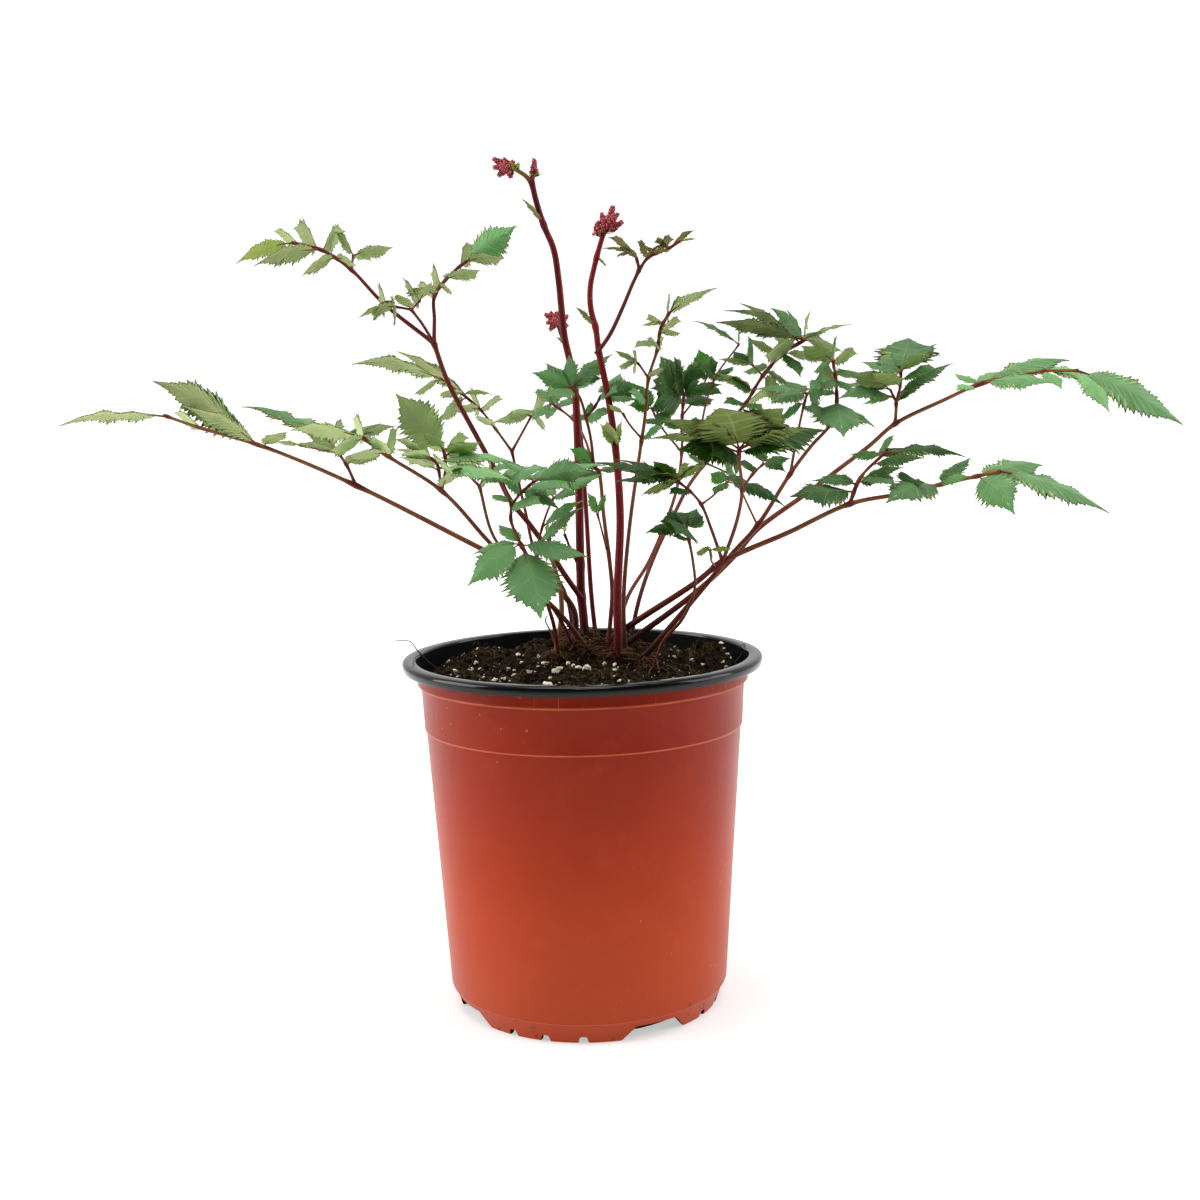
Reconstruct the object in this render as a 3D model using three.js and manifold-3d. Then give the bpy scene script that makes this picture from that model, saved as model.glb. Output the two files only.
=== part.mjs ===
// A young astilbe with its flower stems in bud, standing in a nursery pot of growing medium.
// Millimetres, +Z up. The origin is on the bench under the pot's axis; the plant's front faces -Y.
// Every leafy stem or frond is one solid: round stalks that fork, and thin toothed leaflets.

import * as THREE from "three";
import { mergeVertices } from "three/addons/utils/BufferGeometryUtils.js";
import Module from "manifold-3d";

const wasm = await Module();
wasm.setup();

// Pot
const RIM_RADIUS = 82.5;
const POT_HEIGHT = 161.4;
const POT_SEGMENTS = 28;
const LIP_DROP = 4.6;
const COLLAR_RADIUS = 75.7;
const COLLAR_HEIGHT = 150.9;
const BAND_RADIUS = 73.1;
const BAND_HEIGHT = 130.4;
const SHOULDER_RADIUS = 64.4;
const SHOULDER_HEIGHT = 9.8;
const FOOT_RADIUS = 60.9;
const FLOOR_RADIUS = 50.4;
const WALL = 1.5;
const DRAIN_OPENINGS = 4;
const DRAIN_FIRST_ANGLE = -62;
const DRAIN_TOP_WIDTH = 20;
const DRAIN_FOOT_WIDTH = 32;
const DRAIN_HEIGHT = 6.6;
const NOTCH_RADIUS = 2.2;
const NOTCH_ANGLES = [28, 43, 59];

// Growing medium
const CLEARANCE = 0.35;
const SOIL_LEVEL = 150;
const MOUND_CENTRE = [8, 2];
const MOUND_RISE = 12;
const MOUND_SPREAD = 34;
const CROWN_RISE = 4;
const CROWN_SPREAD = 14;
const SOIL_RINGS = [19, 37, 57];
const LUMP = 1.1;

// Leaflets and stalks
const BLADE_THICKNESS = 0.6;
const BLADE_ARCH = 0.06;
const BLADE_FOLD = 0.22;
const PETIOLULE_SHARE = 0.1;
const PETIOLULE_HALF_WIDTH = 0.55;
const FOLDED_FROM = 20;
const THREE_TEETH_FROM = 30;
const FOUR_TEETH_FROM = 50;
const STATION_SPACING = 30;
const CLOSEST_STATIONS = 11;
const THICK_STALK = 0.9;
const STALK_END = 0.9;

// Flower buds
const BUD_RADIUS = 1.1;
const BUD_LENGTH = 2.6;
const GOLDEN_ANGLE = 2.39996;

// Each frond and flower stem. A stalk is [[radius at its foot, radius at its tip], point, point, ...]
// and each later stalk starts on an earlier one. A leaflet is
// [stalk, place along its points, heading, rise, length, width / length, roll] with angles in
// degrees: heading from +X towards +Y, rise above the horizontal, roll about its own midrib.
const PLANTS = [
  {
    name: "frond_left_low",
    stalks: [
      [[1.5, 0.7], [-5, 5, 155], [-3, 5, 179], [-7, 5, 187], [-13, 5, 193], [-47, 8, 211], [-103, 16, 240], [-145, 24, 258], [-177, 28, 268], [-193, 28, 274]],
      [[0.8, 0.6], [-103, 16, 240], [-107, 18, 249], [-111, 20, 255]],
      [[0.6, 0.5], [-111, 20, 255], [-120, 34, 263]],
      [[0.6, 0.5], [-111, 20, 255], [-102, 6, 262]],
      [[0.55, 0.45], [-111, 20, 255], [-128, 16, 259]],
    ],
    leaflets: [
      [0, 7.9, -173, -2, 50, 0.26, 10],
      [0, 6.05, 167, 33, 63, 0.36, -35],
      [0, 6.1, -154, 27, 32, 0.34, 20],
      [0, 6.95, 139, 20, 23, 0.4, 0],
      [2, 1, 161, 20, 46, 0.34, 0],
      [2, 1, 103, 21, 31, 0.5, 0],
      [2, 0.65, 77, 20, 23, 0.55, 10],
      [1, 2, -162, 12, 40, 0.38, 15],
      [4, 1, -80, -14, 21, 0.5, 0],
      [3, 1, 24, 15, 21, 0.45, 10],
      [3, 1, -57, -1, 24, 0.5, 20],
      [1, 1.1, 16, 20, 23, 0.4, 0],
    ],
  },
  {
    name: "frond_left_front",
    stalks: [
      [[1.2, 0.7], [1, -9, 155], [-7, -14, 179], [-16, -22, 190], [-28, -32, 204], [-40, -42, 219], [-57, -58, 241], [-78, -64, 256], [-88, -66, 264]],
      [[0.6, 0.5], [-57, -58, 241], [-58, -66, 253], [-60, -68, 255]],
      [[0.7, 0.5], [-57, -58, 241], [-55, -56, 252], [-56, -54, 258]],
    ],
    leaflets: [
      [0, 7, 169, 8, 31, 0.4, 0],
      [0, 6.9, -122, -10, 22, 0.5, 10],
      [0, 6.9, 112, 24, 21, 0.5, 10],
      [0, 6.1, 74, 35, 18, 0.55, 20],
      [0, 6.1, -131, 1, 21, 0.45, 10],
      [2, 1.95, 180, 52, 31, 0.42, -60],
      [2, 1.85, 50, 23, 17, 0.6, 25],
      [2, 1.65, -17, -13, 19, 0.45, 10],
      [1, 2, 153, 27, 20, 0.42, -10],
      [1, 2, -125, 9, 20, 0.4, 0],
      [1, 1, -67, -7, 20, 0.5, 0],
    ],
  },
  {
    name: "frond_left_short",
    stalks: [
      [[0.9, 0.7], [-5, -7, 154], [-11, -14, 182], [-27, -20, 203], [-38, -25, 219], [-43, -30, 241]],
      [[0.6, 0.5], [-43, -30, 241], [-51, -32, 250], [-54, -34, 256]],
      [[0.6, 0.5], [-43, -30, 241], [-38, -25, 247]],
    ],
    leaflets: [
      [1, 1.95, 174, 17, 18, 0.4, 0],
      [1, 1.55, 94, 22, 18, 0.5, 0],
    ],
  },
  {
    name: "frond_left_back",
    stalks: [
      [[1, 0.7], [-3, 24, 151], [-8, 32, 187], [-21, 40, 203], [-26, 46, 224], [-29, 50, 238], [-32, 52, 253]],
      [[0.7, 0.5], [-32, 52, 253], [-40, 58, 264], [-47, 62, 273], [-56, 66, 281]],
      [[0.5, 0.45], [-56, 66, 281], [-67, 70, 289]],
      [[0.7, 0.5], [-32, 52, 253], [-22, 52, 270]],
    ],
    leaflets: [
      [2, 0.95, 167, 14, 48, 0.24, 0],
      [2, 0.95, -132, -21, 20, 0.5, 0],
      [1, 2.55, 144, 30, 55, 0.2, 0],
      [1, 3, -32, 1, 19, 0.3, 0],
      [1, 2.8, -135, -30, 21, 0.5, -20],
      [1, 2.05, 106, 21, 24, 0.5, 0],
      [3, 1, -169, -6, 20, 0.5, 0],
      [3, 1, 70, 23, 25, 0.5, 0],
      [3, 1, -67, -13, 18, 0.5, 10],
    ],
  },
  {
    name: "frond_front_left",
    stalks: [
      [[1, 0.8], [-10, -12, 152], [-12, -22, 176], [-15, -34, 190], [-20, -46, 207], [-25, -56, 218]],
      [[0.7, 0.5], [-25, -56, 218], [-29, -50, 228], [-28, -46, 234], [-24, -42, 239], [-19, -40, 243]],
      [[0.6, 0.5], [-29, -50, 228], [-29, -47, 234], [-32, -46, 243]],
      [[0.6, 0.5], [-20, -46, 207], [-17, -36, 220], [-14, -28, 229], [-11, -22, 235]],
    ],
    leaflets: [
      [0, 3.85, -64, -59, 33, 0.72, 0],
      [0, 4, -160, -33, 28, 0.42, 15],
      [0, 3.95, -9, -10, 29, 0.44, -10],
      [0, 4, 131, 30, 15, 0.5, 30],
      [0, 4, 160, -9, 23, 0.4, 30],
      [2, 1.95, -163, 28, 23, 0.36, 0],
      [2, 1.95, 74, 22, 22, 0.5, 0],
      [1, 4, 0, 15, 32, 0.3, 0],
      [1, 3.65, -50, 1, 28, 0.46, 10],
      [1, 4, 74, 19, 18, 0.4, 0],
      [3, 3, 0, 25, 25, 0.36, 0],
      [3, 0.7, -19, 39, 27, 0.34, -20],
      [3, 1.3, -1, 34, 22, 0.3, -10],
      [1, 2, -58, 4, 24, 0.45, 0],
      [3, 3, 118, 16, 19, 0.5, 0],
    ],
  },
  {
    name: "frond_mid",
    stalks: [
      [[1.1, 0.8], [10, -12, 154], [13, -12, 179], [14, -11, 192], [11, -5, 225], [9, 0, 245], [7, 0, 247]],
      [[0.7, 0.5], [7, 0, 247], [3, 18, 260], [-2, 28, 268], [-12, 34, 276]],
      [[0.8, 0.6], [7, 0, 247], [6, -2, 259], [4, -4, 269], [1, -6, 279], [-2, -8, 282]],
      [[0.6, 0.5], [4, -4, 269], [8, -4, 274], [11, -6, 279]],
      [[0.5, 0.45], [12, -8, 210], [9, -16, 223], [8, -18, 227]],
    ],
    leaflets: [
      [1, 3, -132, -30, 16, 0.5, 0],
      [1, 2.8, 122, 29, 20, 0.5, 0],
      [1, 2.65, 63, 22, 17, 0.5, 0],
      [2, 4, 103, 76, 17, 0.5, -60],
      [2, 4, 139, 39, 20, 0.5, -30],
      [2, 4, -150, 22, 22, 0.36, 0],
      [2, 4, 18, 40, 25, 0.4, -30],
      [2, 4, -120, -9, 23, 0.45, 10],
      [3, 2, 17, 11, 21, 0.4, 0],
      [3, 2, 58, 29, 21, 0.5, 0],
      [3, 1.85, 2, -5, 18, 0.34, 0],
    ],
  },
  {
    name: "frond_upright",
    stalks: [
      [[1.1, 0.6], [20, -13, 153], [19, -12, 185], [22, -12, 218], [28, -10, 256], [30, -10, 268], [32, -10, 286], [36, -8, 298], [38, -8, 308], [42, -8, 315]],
      [[0.5, 0.45], [32, -10, 286], [28, -10, 292], [27, -10, 293]],
      [[0.5, 0.45], [29, -10, 259], [23, -16, 266], [20, -20, 271]],
    ],
    leaflets: [
      [0, 7.95, -16, 26, 25, 0.24, 0],
      [0, 7.95, 42, 28, 20, 0.3, 0],
      [0, 7.85, 84, 24, 18, 0.6, 0],
      [0, 7, 50, 14, 16, 0.45, 0],
      [0, 6.75, -54, -2, 15, 0.35, 0],
      [0, 6.3, 131, 0, 16, 0.45, 0],
    ],
  },
  {
    name: "frond_right_low",
    stalks: [
      [[1.6, 0.7], [22, -8, 153], [26, -14, 179], [50, -26, 196], [62, -32, 206], [90, -40, 219], [115, -46, 231], [135, -50, 235], [162, -54, 241], [177, -54, 244]],
      [[0.8, 0.5], [115, -46, 231], [120, -44, 242], [131, -40, 252]],
      [[0.8, 0.5], [62, -32, 206], [57, -38, 220], [52, -44, 232], [47, -48, 238], [41, -50, 243]],
      [[0.5, 0.45], [52, -44, 232], [57, -40, 235], [64, -36, 241]],
      [[0.9, 0.7], [62, -32, 206], [67, -46, 225], [68, -58, 239], [66, -66, 252], [66, -68, 256]],
      [[0.6, 0.5], [68, -58, 239], [73, -54, 245], [78, -50, 249]],
      [[0.5, 0.45], [59, -31, 204], [56, -44, 208], [55, -50, 213]],
    ],
    leaflets: [
      [0, 8, -11, -20, 47, 0.24, -20],
      [0, 7.5, 26, 7, 33, 0.4, 10],
      [0, 7.45, -69, -29, 27, 0.5, 10],
      [0, 6.6, 39, 27, 30, 0.36, -10],
      [0, 6.35, -144, -5, 31, 0.42, 20],
      [0, 6.25, 101, 29, 18, 0.5, 0],
      [1, 0.75, -39, 20, 23, 0.4, 0],
      [1, 1, -59, -3, 23, 0.4, 0],
      [1, 1.5, -26, 9, 23, 0.34, 10],
      [1, 2, 6, -1, 36, 0.22, 0],
      [1, 2, 78, 20, 17, 0.5, -20],
      [1, 0.7, 138, 13, 19, 0.4, 0],
      [1, 0.45, -156, -1, 32, 0.42, 10],
      [1, 0.75, -176, 6, 20, 0.3, 0],
      [2, 4, -158, -1, 32, 0.3, 0],
      [2, 4, 180, 13, 37, 0.26, 0],
      [2, 3.75, -136, -6, 24, 0.4, 0],
      [2, 3.85, 98, 25, 22, 0.5, 0],
      [3, 2, -23, -19, 27, 0.3, 10],
      [4, 4, -111, 26, 43, 0.62, -10],
      [4, 4, -158, 22, 41, 0.36, -10],
      [4, 4, -57, 32, 34, 0.42, 20],
      [4, 4, -13, 11, 37, 0.4, -20],
      [4, 3.65, 168, 12, 38, 0.22, 0],
      [4, 3.2, -150, 8, 31, 0.4, 0],
    ],
  },
  {
    name: "frond_right_long",
    stalks: [
      [[1.5, 0.7], [28, 0, 153], [53, 6, 188], [71, 8, 204], [82, 10, 216], [106, 16, 232], [122, 20, 243], [136, 22, 253], [149, 26, 263], [171, 28, 273], [191, 30, 281], [220, 30, 286], [236, 30, 286]],
      [[0.8, 0.7], [149, 26, 263], [149, 24, 270], [149, 24, 273]],
      [[0.6, 0.5], [149, 24, 273], [150, 20, 280], [150, 18, 287]],
      [[0.5, 0.45], [149, 24, 273], [147, 28, 279]],
    ],
    leaflets: [
      [0, 11, -10, -28, 54, 0.34, -35],
      [0, 11, -64, -43, 28, 0.4, 0],
      [0, 10, 106, 18, 15, 0.36, 0],
      [0, 10, 33, 5, 26, 0.3, 0],
      [0, 9.05, 18, 15, 48, 0.3, -10],
      [0, 9, -32, 1, 34, 0.3, 10],
      [0, 8.9, 126, 21, 16, 0.4, 0],
      [0, 8.8, -131, -3, 18, 0.34, 0],
      [2, 2, -89, 48, 21, 0.62, -30],
      [2, 2, 35, 30, 28, 0.4, 0],
      [2, 1.85, 144, 17, 21, 0.4, 0],
      [3, 1, -145, 20, 26, 0.55, -10],
      [3, 1, 164, 8, 22, 0.36, 0],
      [3, 0.4, -152, 4, 33, 0.34, 0],
      [2, 0.55, 5, 30, 30, 0.34, -20],
      [2, 1.45, -50, 15, 23, 0.3, 0],
    ],
  },
  {
    name: "frond_right_upright",
    stalks: [
      [[1.4, 0.6], [27, -17, 150], [46, -22, 184], [67, -26, 209], [78, -26, 221], [93, -22, 243], [103, -18, 255], [112, -14, 264], [115, -12, 271], [115, -10, 285], [114, -10, 292]],
      [[0.7, 0.5], [93, -22, 243], [97, -14, 258], [101, -8, 272], [103, -6, 278]],
      [[0.5, 0.45], [78, -26, 221], [73, -14, 234], [70, -10, 242]],
      [[0.45, 0.4], [70, -10, 242], [57, -10, 248]],
    ],
    leaflets: [
      [0, 6.05, -133, 25, 21, 0.4, 0],
      [0, 7, -57, -31, 19, 0.6, 20],
      [0, 7, 26, 0, 22, 0.4, 10],
      [0, 8.05, 44, 5, 20, 0.4, 0],
      [0, 7.9, -130, -9, 24, 0.4, 0],
      [0, 9, 42, 13, 18, 0.45, 0],
      [0, 9, 77, 20, 22, 0.5, 0],
      [0, 9, -148, 12, 19, 0.4, 0],
      [1, 3, -146, -9, 22, 0.4, 0],
      [1, 3, -73, 15, 24, 0.5, 0],
      [1, 3, 120, 21, 17, 0.5, -10],
      [1, 2.3, 133, -27, 17, 0.4, 0],
    ],
  },
  {
    name: "frond_right_back",
    stalks: [
      [[1.1, 0.7], [20, 6, 155], [27, 14, 184], [35, 26, 203], [46, 38, 223], [53, 44, 235], [61, 50, 245], [76, 60, 266], [83, 62, 274], [92, 68, 287], [103, 72, 298], [113, 72, 304]],
      [[0.6, 0.45], [61, 50, 245], [61, 66, 261], [69, 78, 286], [82, 84, 303]],
      [[0.5, 0.45], [92, 68, 287], [86, 58, 292]],
    ],
    leaflets: [
      [0, 10, -172, 23, 46, 0.3, -10],
      [0, 9.8, 150, 35, 39, 0.35, 0],
      [0, 10, -132, 45, 23, 0.5, -20],
      [0, 10, 69, 43, 23, 0.4, 0],
      [0, 10, -5, 19, 25, 0.36, 0],
      [0, 10, -49, -13, 25, 0.45, 10],
      [0, 9.6, 123, 18, 22, 0.5, 0],
      [0, 9, -33, -11, 26, 0.36, 0],
      [0, 8.8, 158, 30, 20, 0.4, 0],
      [1, 3, 157, 34, 25, 0.2, 0],
      [1, 3, 79, 36, 18, 0.5, 0],
      [2, 1, -111, 60, 17, 0.55, -60],
      [2, 1, 160, 13, 18, 0.35, 0],
      [0, 8.15, -60, -18, 20, 0.4, 0],
      [0, 7.45, -156, 24, 23, 0.4, 0],
      [0, 6.95, 52, 13, 24, 0.4, 0],
    ],
  },
  {
    name: "frond_back",
    stalks: [
      [[1.1, 0.7], [13, 15, 154], [22, 34, 182], [34, 50, 199], [48, 66, 230], [52, 76, 250], [53, 84, 268], [54, 84, 278]],
      [[0.5, 0.45], [53, 84, 268], [63, 92, 280], [67, 92, 289]],
      [[0.6, 0.45], [52, 76, 250], [41, 72, 264], [37, 70, 272]],
    ],
    leaflets: [
      [0, 6, 152, 60, 26, 0.5, -30],
      [0, 6, -108, 46, 27, 0.55, -40],
      [0, 6, -49, 56, 23, 0.5, -30],
      [1, 1.85, 139, 58, 17, 0.5, -60],
      [0, 6, -150, 16, 21, 0.5, -20],
      [0, 5.55, 38, 8, 22, 0.5, 0],
      [2, 2, -140, 10, 16, 0.4, 0],
      [2, 1.6, -66, -7, 19, 0.45, 0],
    ],
  },
  {
    name: "frond_small",
    stalks: [
      [[0.8, 0.6], [28, -25, 149], [36, -28, 171], [44, -32, 181], [49, -40, 195], [48, -46, 208], [45, -50, 223]],
    ],
    leaflets: [
      [0, 5, -167, -2, 18, 0.45, 0],
      [0, 5, 105, 23, 16, 0.6, 0],
      [0, 5, -105, 0, 21, 0.6, 0],
      [0, 5, 71, 19, 20, 0.4, 0],
    ],
  },
  {
    name: "stem_tall",
    stalks: [
      [[2.2, 1.3], [2, 12, 155], [1, 12, 175], [0, 12, 189], [0, 12, 204], [0, 13, 254], [-1, 13, 286], [-3, 13, 296], [-5, 13, 306], [-7, 12, 331], [-9, 11, 345], [-13, 10, 355], [-16, 9, 365], [-18, 8, 374]],
      [[1.1, 1], [-18, 8, 374], [-21, 7, 377], [-26, 6, 380]],
      [[0.9, 0.9], [-18, 8, 374], [-17, 8, 378]],
      [[1.4, 1.1], [0, 11, 186], [-7, 6, 197], [-13, 4, 207], [-23, 0, 222], [-31, -4, 233], [-37, -6, 246], [-45, -8, 262], [-57, -12, 287], [-62, -14, 303]],
      [[1, 0.6], [-62, -14, 303], [-84, -10, 321], [-98, -6, 336], [-111, -2, 345], [-125, 2, 349]],
      [[0.6, 0.5], [-98, -6, 336], [-98, 2, 343]],
      [[0.7, 0.6], [-62, -14, 303], [-66, -22, 311], [-70, -28, 317]],
      [[0.5, 0.45], [-70, -28, 317], [-81, -32, 319]],
      [[0.5, 0.45], [-70, -28, 317], [-67, -20, 321]],
      [[0.9, 0.6], [-62, -14, 303], [-62, -8, 314], [-62, -4, 324], [-54, 4, 335], [-48, 8, 340]],
      [[0.6, 0.6], [-1, 12, 201], [-4, 10, 208], [-7, 8, 216]],
    ],
    leaflets: [
      [4, 4, -161, -17, 26, 0.42, -15],
      [4, 3.55, 116, 26, 25, 0.5, -20],
      [4, 3, 66, 30, 23, 0.5, -10],
      [4, 3.1, -141, -12, 33, 0.38, 20],
      [4, 2.55, -118, -19, 26, 0.34, 20],
      [5, 1, 138, 45, 17, 0.45, -30],
      [5, 1, -18, 9, 20, 0.4, 10],
      [7, 1, -160, -26, 13, 0.4, 0],
      [7, 0.95, 105, 14, 21, 0.55, 10],
      [7, 0.7, -81, -16, 20, 0.5, 0],
      [8, 1, 115, 22, 21, 0.55, 10],
      [9, 4, -14, 32, 28, 0.56, -40],
      [9, 3.65, 110, 24, 18, 0.55, 0],
      [9, 4, -45, -1, 25, 0.36, 10],
      [9, 2.4, 109, 24, 20, 0.5, 0],
      [9, 2.65, -46, 6, 24, 0.35, 10],
      [9, 2.05, -115, 5, 23, 0.5, 0],
      [0, 10.45, -139, 36, 14, 0.3, 0],
    ],
  },
  {
    name: "stem_right",
    stalks: [
      [[2.1, 1.1], [15, -21, 151], [16, -21, 175], [16, -21, 189], [18, -20, 224], [17, -18, 251], [14, -16, 277], [10, -16, 299], [9, -15, 308], [7, -14, 317], [7, -13, 326], [9, -12, 335], [11, -12, 342], [13, -12, 348], [14, -12, 350]],
      [[1, 0.8], [9, -16, 297], [15, -20, 305], [21, -24, 317], [25, -26, 326], [28, -27, 332]],
      [[0.6, 0.5], [28, -27, 332], [27, -28, 336], [26, -28, 339]],
      [[0.7, 0.5], [28, -27, 332], [32, -29, 337], [40, -31, 340], [45, -32, 343]],
    ],
    leaflets: [
      [2, 2, -156, 10, 15, 0.3, 0],
      [2, 2, 137, 29, 17, 0.34, 0],
      [2, 2, -110, -9, 17, 0.4, 0],
      [3, 2.2, 54, 31, 16, 0.34, 0],
      [3, 1.35, 62, 26, 20, 0.34, 0],
      [3, 1.35, -67, -8, 18, 0.36, 0],
      [3, 1, 116, 38, 13, 0.4, 0],
      [0, 7.1, 162, 44, 13, 0.34, -20],
      [0, 4.2, -160, 57, 13, 0.45, -60],
      [0, 4.2, -111, 48, 17, 0.4, -40],
      [0, 4.2, -65, 59, 14, 0.4, -60],
    ],
  },
  {
    name: "stem_short",
    stalks: [
      [[1.2, 1], [8, 22, 153], [5, 25, 183], [3, 32, 230], [0, 38, 277], [-5, 40, 303], [-7, 40, 309]],
    ],
    leaflets: [
      [0, 4, -138, 35, 7, 0.4, 0],
    ],
  },
  {
    name: "young_shoot",
    stalks: [
      [[1.6, 0.8], [-14, -3, 152], [-9, -5, 182], [-10, -5, 195], [-13, -6, 207], [-14, -7, 216], [-15, -7, 221]],
    ],
    leaflets: [
      [0, 4, -115, 76, 9, 0.4, -60],
    ],
  },
];

// The buds of each flower head stand on short spikes: [foot, tip, radius at the foot, buds].
const FLOWER_HEADS = [
  {
    name: "flower_head_tall",
    stem: "stem_tall",
    on: 1,
    spikes: [
      [[-26.6, 6, 379.3], [-33.5, 6, 382.5], 3.4, 7],
      [[-28, 7, 380], [-30, 12, 385], 2.6, 4],
      [[-28, 5, 379], [-32, 1, 377], 2.6, 4],
      [[-29, 6, 381], [-28, 4, 386.5], 2.4, 4],
    ],
  },
  {
    name: "flower_spike_tall",
    stem: "stem_tall",
    on: 2,
    spikes: [[[-16.9, 8, 378], [-16.6, 8, 385.4], 1.2, 5]],
  },
  {
    name: "flower_head_right",
    stem: "stem_right",
    on: 0,
    spikes: [
      [[14.6, -12, 351], [18.2, -12, 362.7], 3.4, 9],
      [[13.5, -12, 350.5], [10.6, -12, 356], 1.8, 4],
      [[14, -11, 352], [12.2, -8, 359], 1.8, 4],
      [[15.5, -13, 351], [21.9, -14, 354.6], 2, 4],
    ],
  },
  {
    name: "flower_head_short",
    stem: "stem_short",
    on: 0,
    spikes: [
      [[-11, 40, 311.5], [-16.9, 40, 316], 2.8, 6],
      [[-11, 40, 311.5], [-4.9, 40, 313.5], 2.6, 5],
      [[-11, 40, 311.5], [-10.8, 41, 318], 2.8, 5],
    ],
  },
];

const COLOURS = {
  pot: [0xa54a2f, 0.42],
  soil: [0x2b2019, 0.95],
  flowerStem: [0x5a1a24, 0.5],
  frond: [0x4f7f4b, 0.6],
  flower: [0x9c2438, 0.7],
};

const radians = THREE.MathUtils.degToRad;

// A small repeatable random source.
function seeded(seed) {
  let state = seed;
  return () => {
    state = (state * 1664525 + 1013904223) % 4294967296;
    return state / 4294967296;
  };
}

// Solids

function solidFromIndexed(positions, triangles) {
  const vertProperties = new Float32Array(positions.flat());
  const triVerts = new Uint32Array(triangles.flat());
  return new wasm.Manifold(new wasm.Mesh({ numProp: 3, vertProperties, triVerts }));
}

function solidFromGeometry(geometry) {
  const bare = geometry.clone();
  bare.deleteAttribute("normal");
  bare.deleteAttribute("uv");
  const merged = mergeVertices(bare, 1e-4);
  const vertProperties = new Float32Array(merged.attributes.position.array);
  const triVerts = new Uint32Array(merged.index.array);
  return new wasm.Manifold(new wasm.Mesh({ numProp: 3, vertProperties, triVerts }));
}

function geometryFromSolid(solid) {
  const mesh = solid.getMesh();
  const positions = new Float32Array(mesh.numVert * 3);
  for (let i = 0; i < mesh.numVert; i++) {
    positions.set(mesh.vertProperties.subarray(i * mesh.numProp, i * mesh.numProp + 3), i * 3);
  }
  const geometry = new THREE.BufferGeometry();
  geometry.setAttribute("position", new THREE.BufferAttribute(positions, 3));
  geometry.setIndex(new THREE.BufferAttribute(new Uint32Array(mesh.triVerts), 1));
  const faceted = geometry.toNonIndexed();
  faceted.computeVertexNormals();
  return faceted;
}

function joined(solids) {
  return solids.reduce((sum, solid) => sum.add(solid));
}

// The solid without loose scraps, and with any hollow that its joints sealed filled in.
function wholeBody(solid) {
  const bodies = solid.decompose().sort((a, b) => b.volume() - a.volume());
  return bodies[0];
}

function namedMesh(name, solid, look) {
  const [color, roughness] = COLOURS[look];
  const material = new THREE.MeshStandardMaterial({ color, roughness, metalness: 0 });
  const mesh = new THREE.Mesh(geometryFromSolid(solid), material);
  mesh.name = name;
  return mesh;
}

// Stalks

function stalkCurve(points) {
  const controls = points.map((point) => new THREE.Vector3(...point));
  return new THREE.CatmullRomCurve3(controls, false, "centripetal");
}

// The places along a stalk where it has a ring, as shares of its point count.
function stationsOf(points) {
  const stations = [0];
  for (let i = 1; i < points.length; i++) {
    const from = stations[stations.length - 1];
    const span = new THREE.Vector3(...points[i]).distanceTo(new THREE.Vector3(...points[from]));
    if (span < CLOSEST_STATIONS && i < points.length - 1) continue;
    const pieces = Math.max(1, Math.round(span / STATION_SPACING));
    for (let k = 1; k <= pieces; k++) stations.push(from + ((i - from) * k) / pieces);
  }
  return stations;
}

// A point on the stalk's centre line as its rings cut it.
function pointOnStalk(points, place) {
  const curve = stalkCurve(points);
  const stations = stationsOf(points);
  const last = stations.length - 1;
  const upper = Math.max(1, stations.findIndex((station) => station >= place));
  const i = place >= stations[last] ? last : upper;
  const from = curve.getPoint(stations[i - 1] / (points.length - 1));
  const to = curve.getPoint(stations[i] / (points.length - 1));
  return from.lerp(to, (place - stations[i - 1]) / (stations[i] - stations[i - 1]));
}

// The stalk, or with extra the hole that it stands in, which ends at the station upTo.
function stalkSolid(points, [footRadius, tipRadius], extra = 0, upTo = Infinity) {
  const curve = stalkCurve(points);
  const last = points.length - 1;
  const stations = stationsOf(points);
  const centres = stations.map((station) => curve.getPoint(station / last));
  const sides = footRadius > THICK_STALK ? 5 : 4;
  const positions = [];
  let side = new THREE.Vector3(0, 1, 0);
  centres.forEach((centre, i) => {
    const before = centres[Math.max(0, i - 1)];
    const after = centres[Math.min(centres.length - 1, i + 1)];
    const along = after.clone().sub(before).normalize();
    side = side.clone().addScaledVector(along, -side.dot(along)).normalize();
    const across = along.clone().cross(side);
    if (stations[i] > upTo) return;
    const share = i / (centres.length - 1);
    const ring = centre.clone();
    if (extra > 0 && i === 0) ring.addScaledVector(along, -extra);
    if (i === centres.length - 1) ring.addScaledVector(along, STALK_END + extra);
    const radius = footRadius + (tipRadius - footRadius) * share + extra;
    for (let k = 0; k < sides; k++) {
      const angle = (2 * Math.PI * k) / sides;
      const point = ring.clone();
      point.addScaledVector(side, radius * Math.cos(angle));
      point.addScaledVector(across, radius * Math.sin(angle));
      positions.push(point.toArray());
    }
  });
  const triangles = [];
  const rings = positions.length / sides;
  for (let i = 0; i < rings - 1; i++) {
    for (let k = 0; k < sides; k++) {
      const a = i * sides + k;
      const b = i * sides + ((k + 1) % sides);
      triangles.push([a, b, b + sides], [a, b + sides, a + sides]);
    }
  }
  const top = (rings - 1) * sides;
  for (let k = 1; k < sides - 1; k++) {
    triangles.push([0, k + 1, k], [top, top + k, top + k + 1]);
  }
  return solidFromIndexed(positions, triangles);
}

// Leaflets

// The leaflet's outline: shares of the half width at shares of the blade's length, with teeth that
// point towards the drawn-out tip.
function bladeProfile(share) {
  return 2.68 * Math.pow(share, 0.55) * Math.pow(1 - share, 0.95);
}

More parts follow.
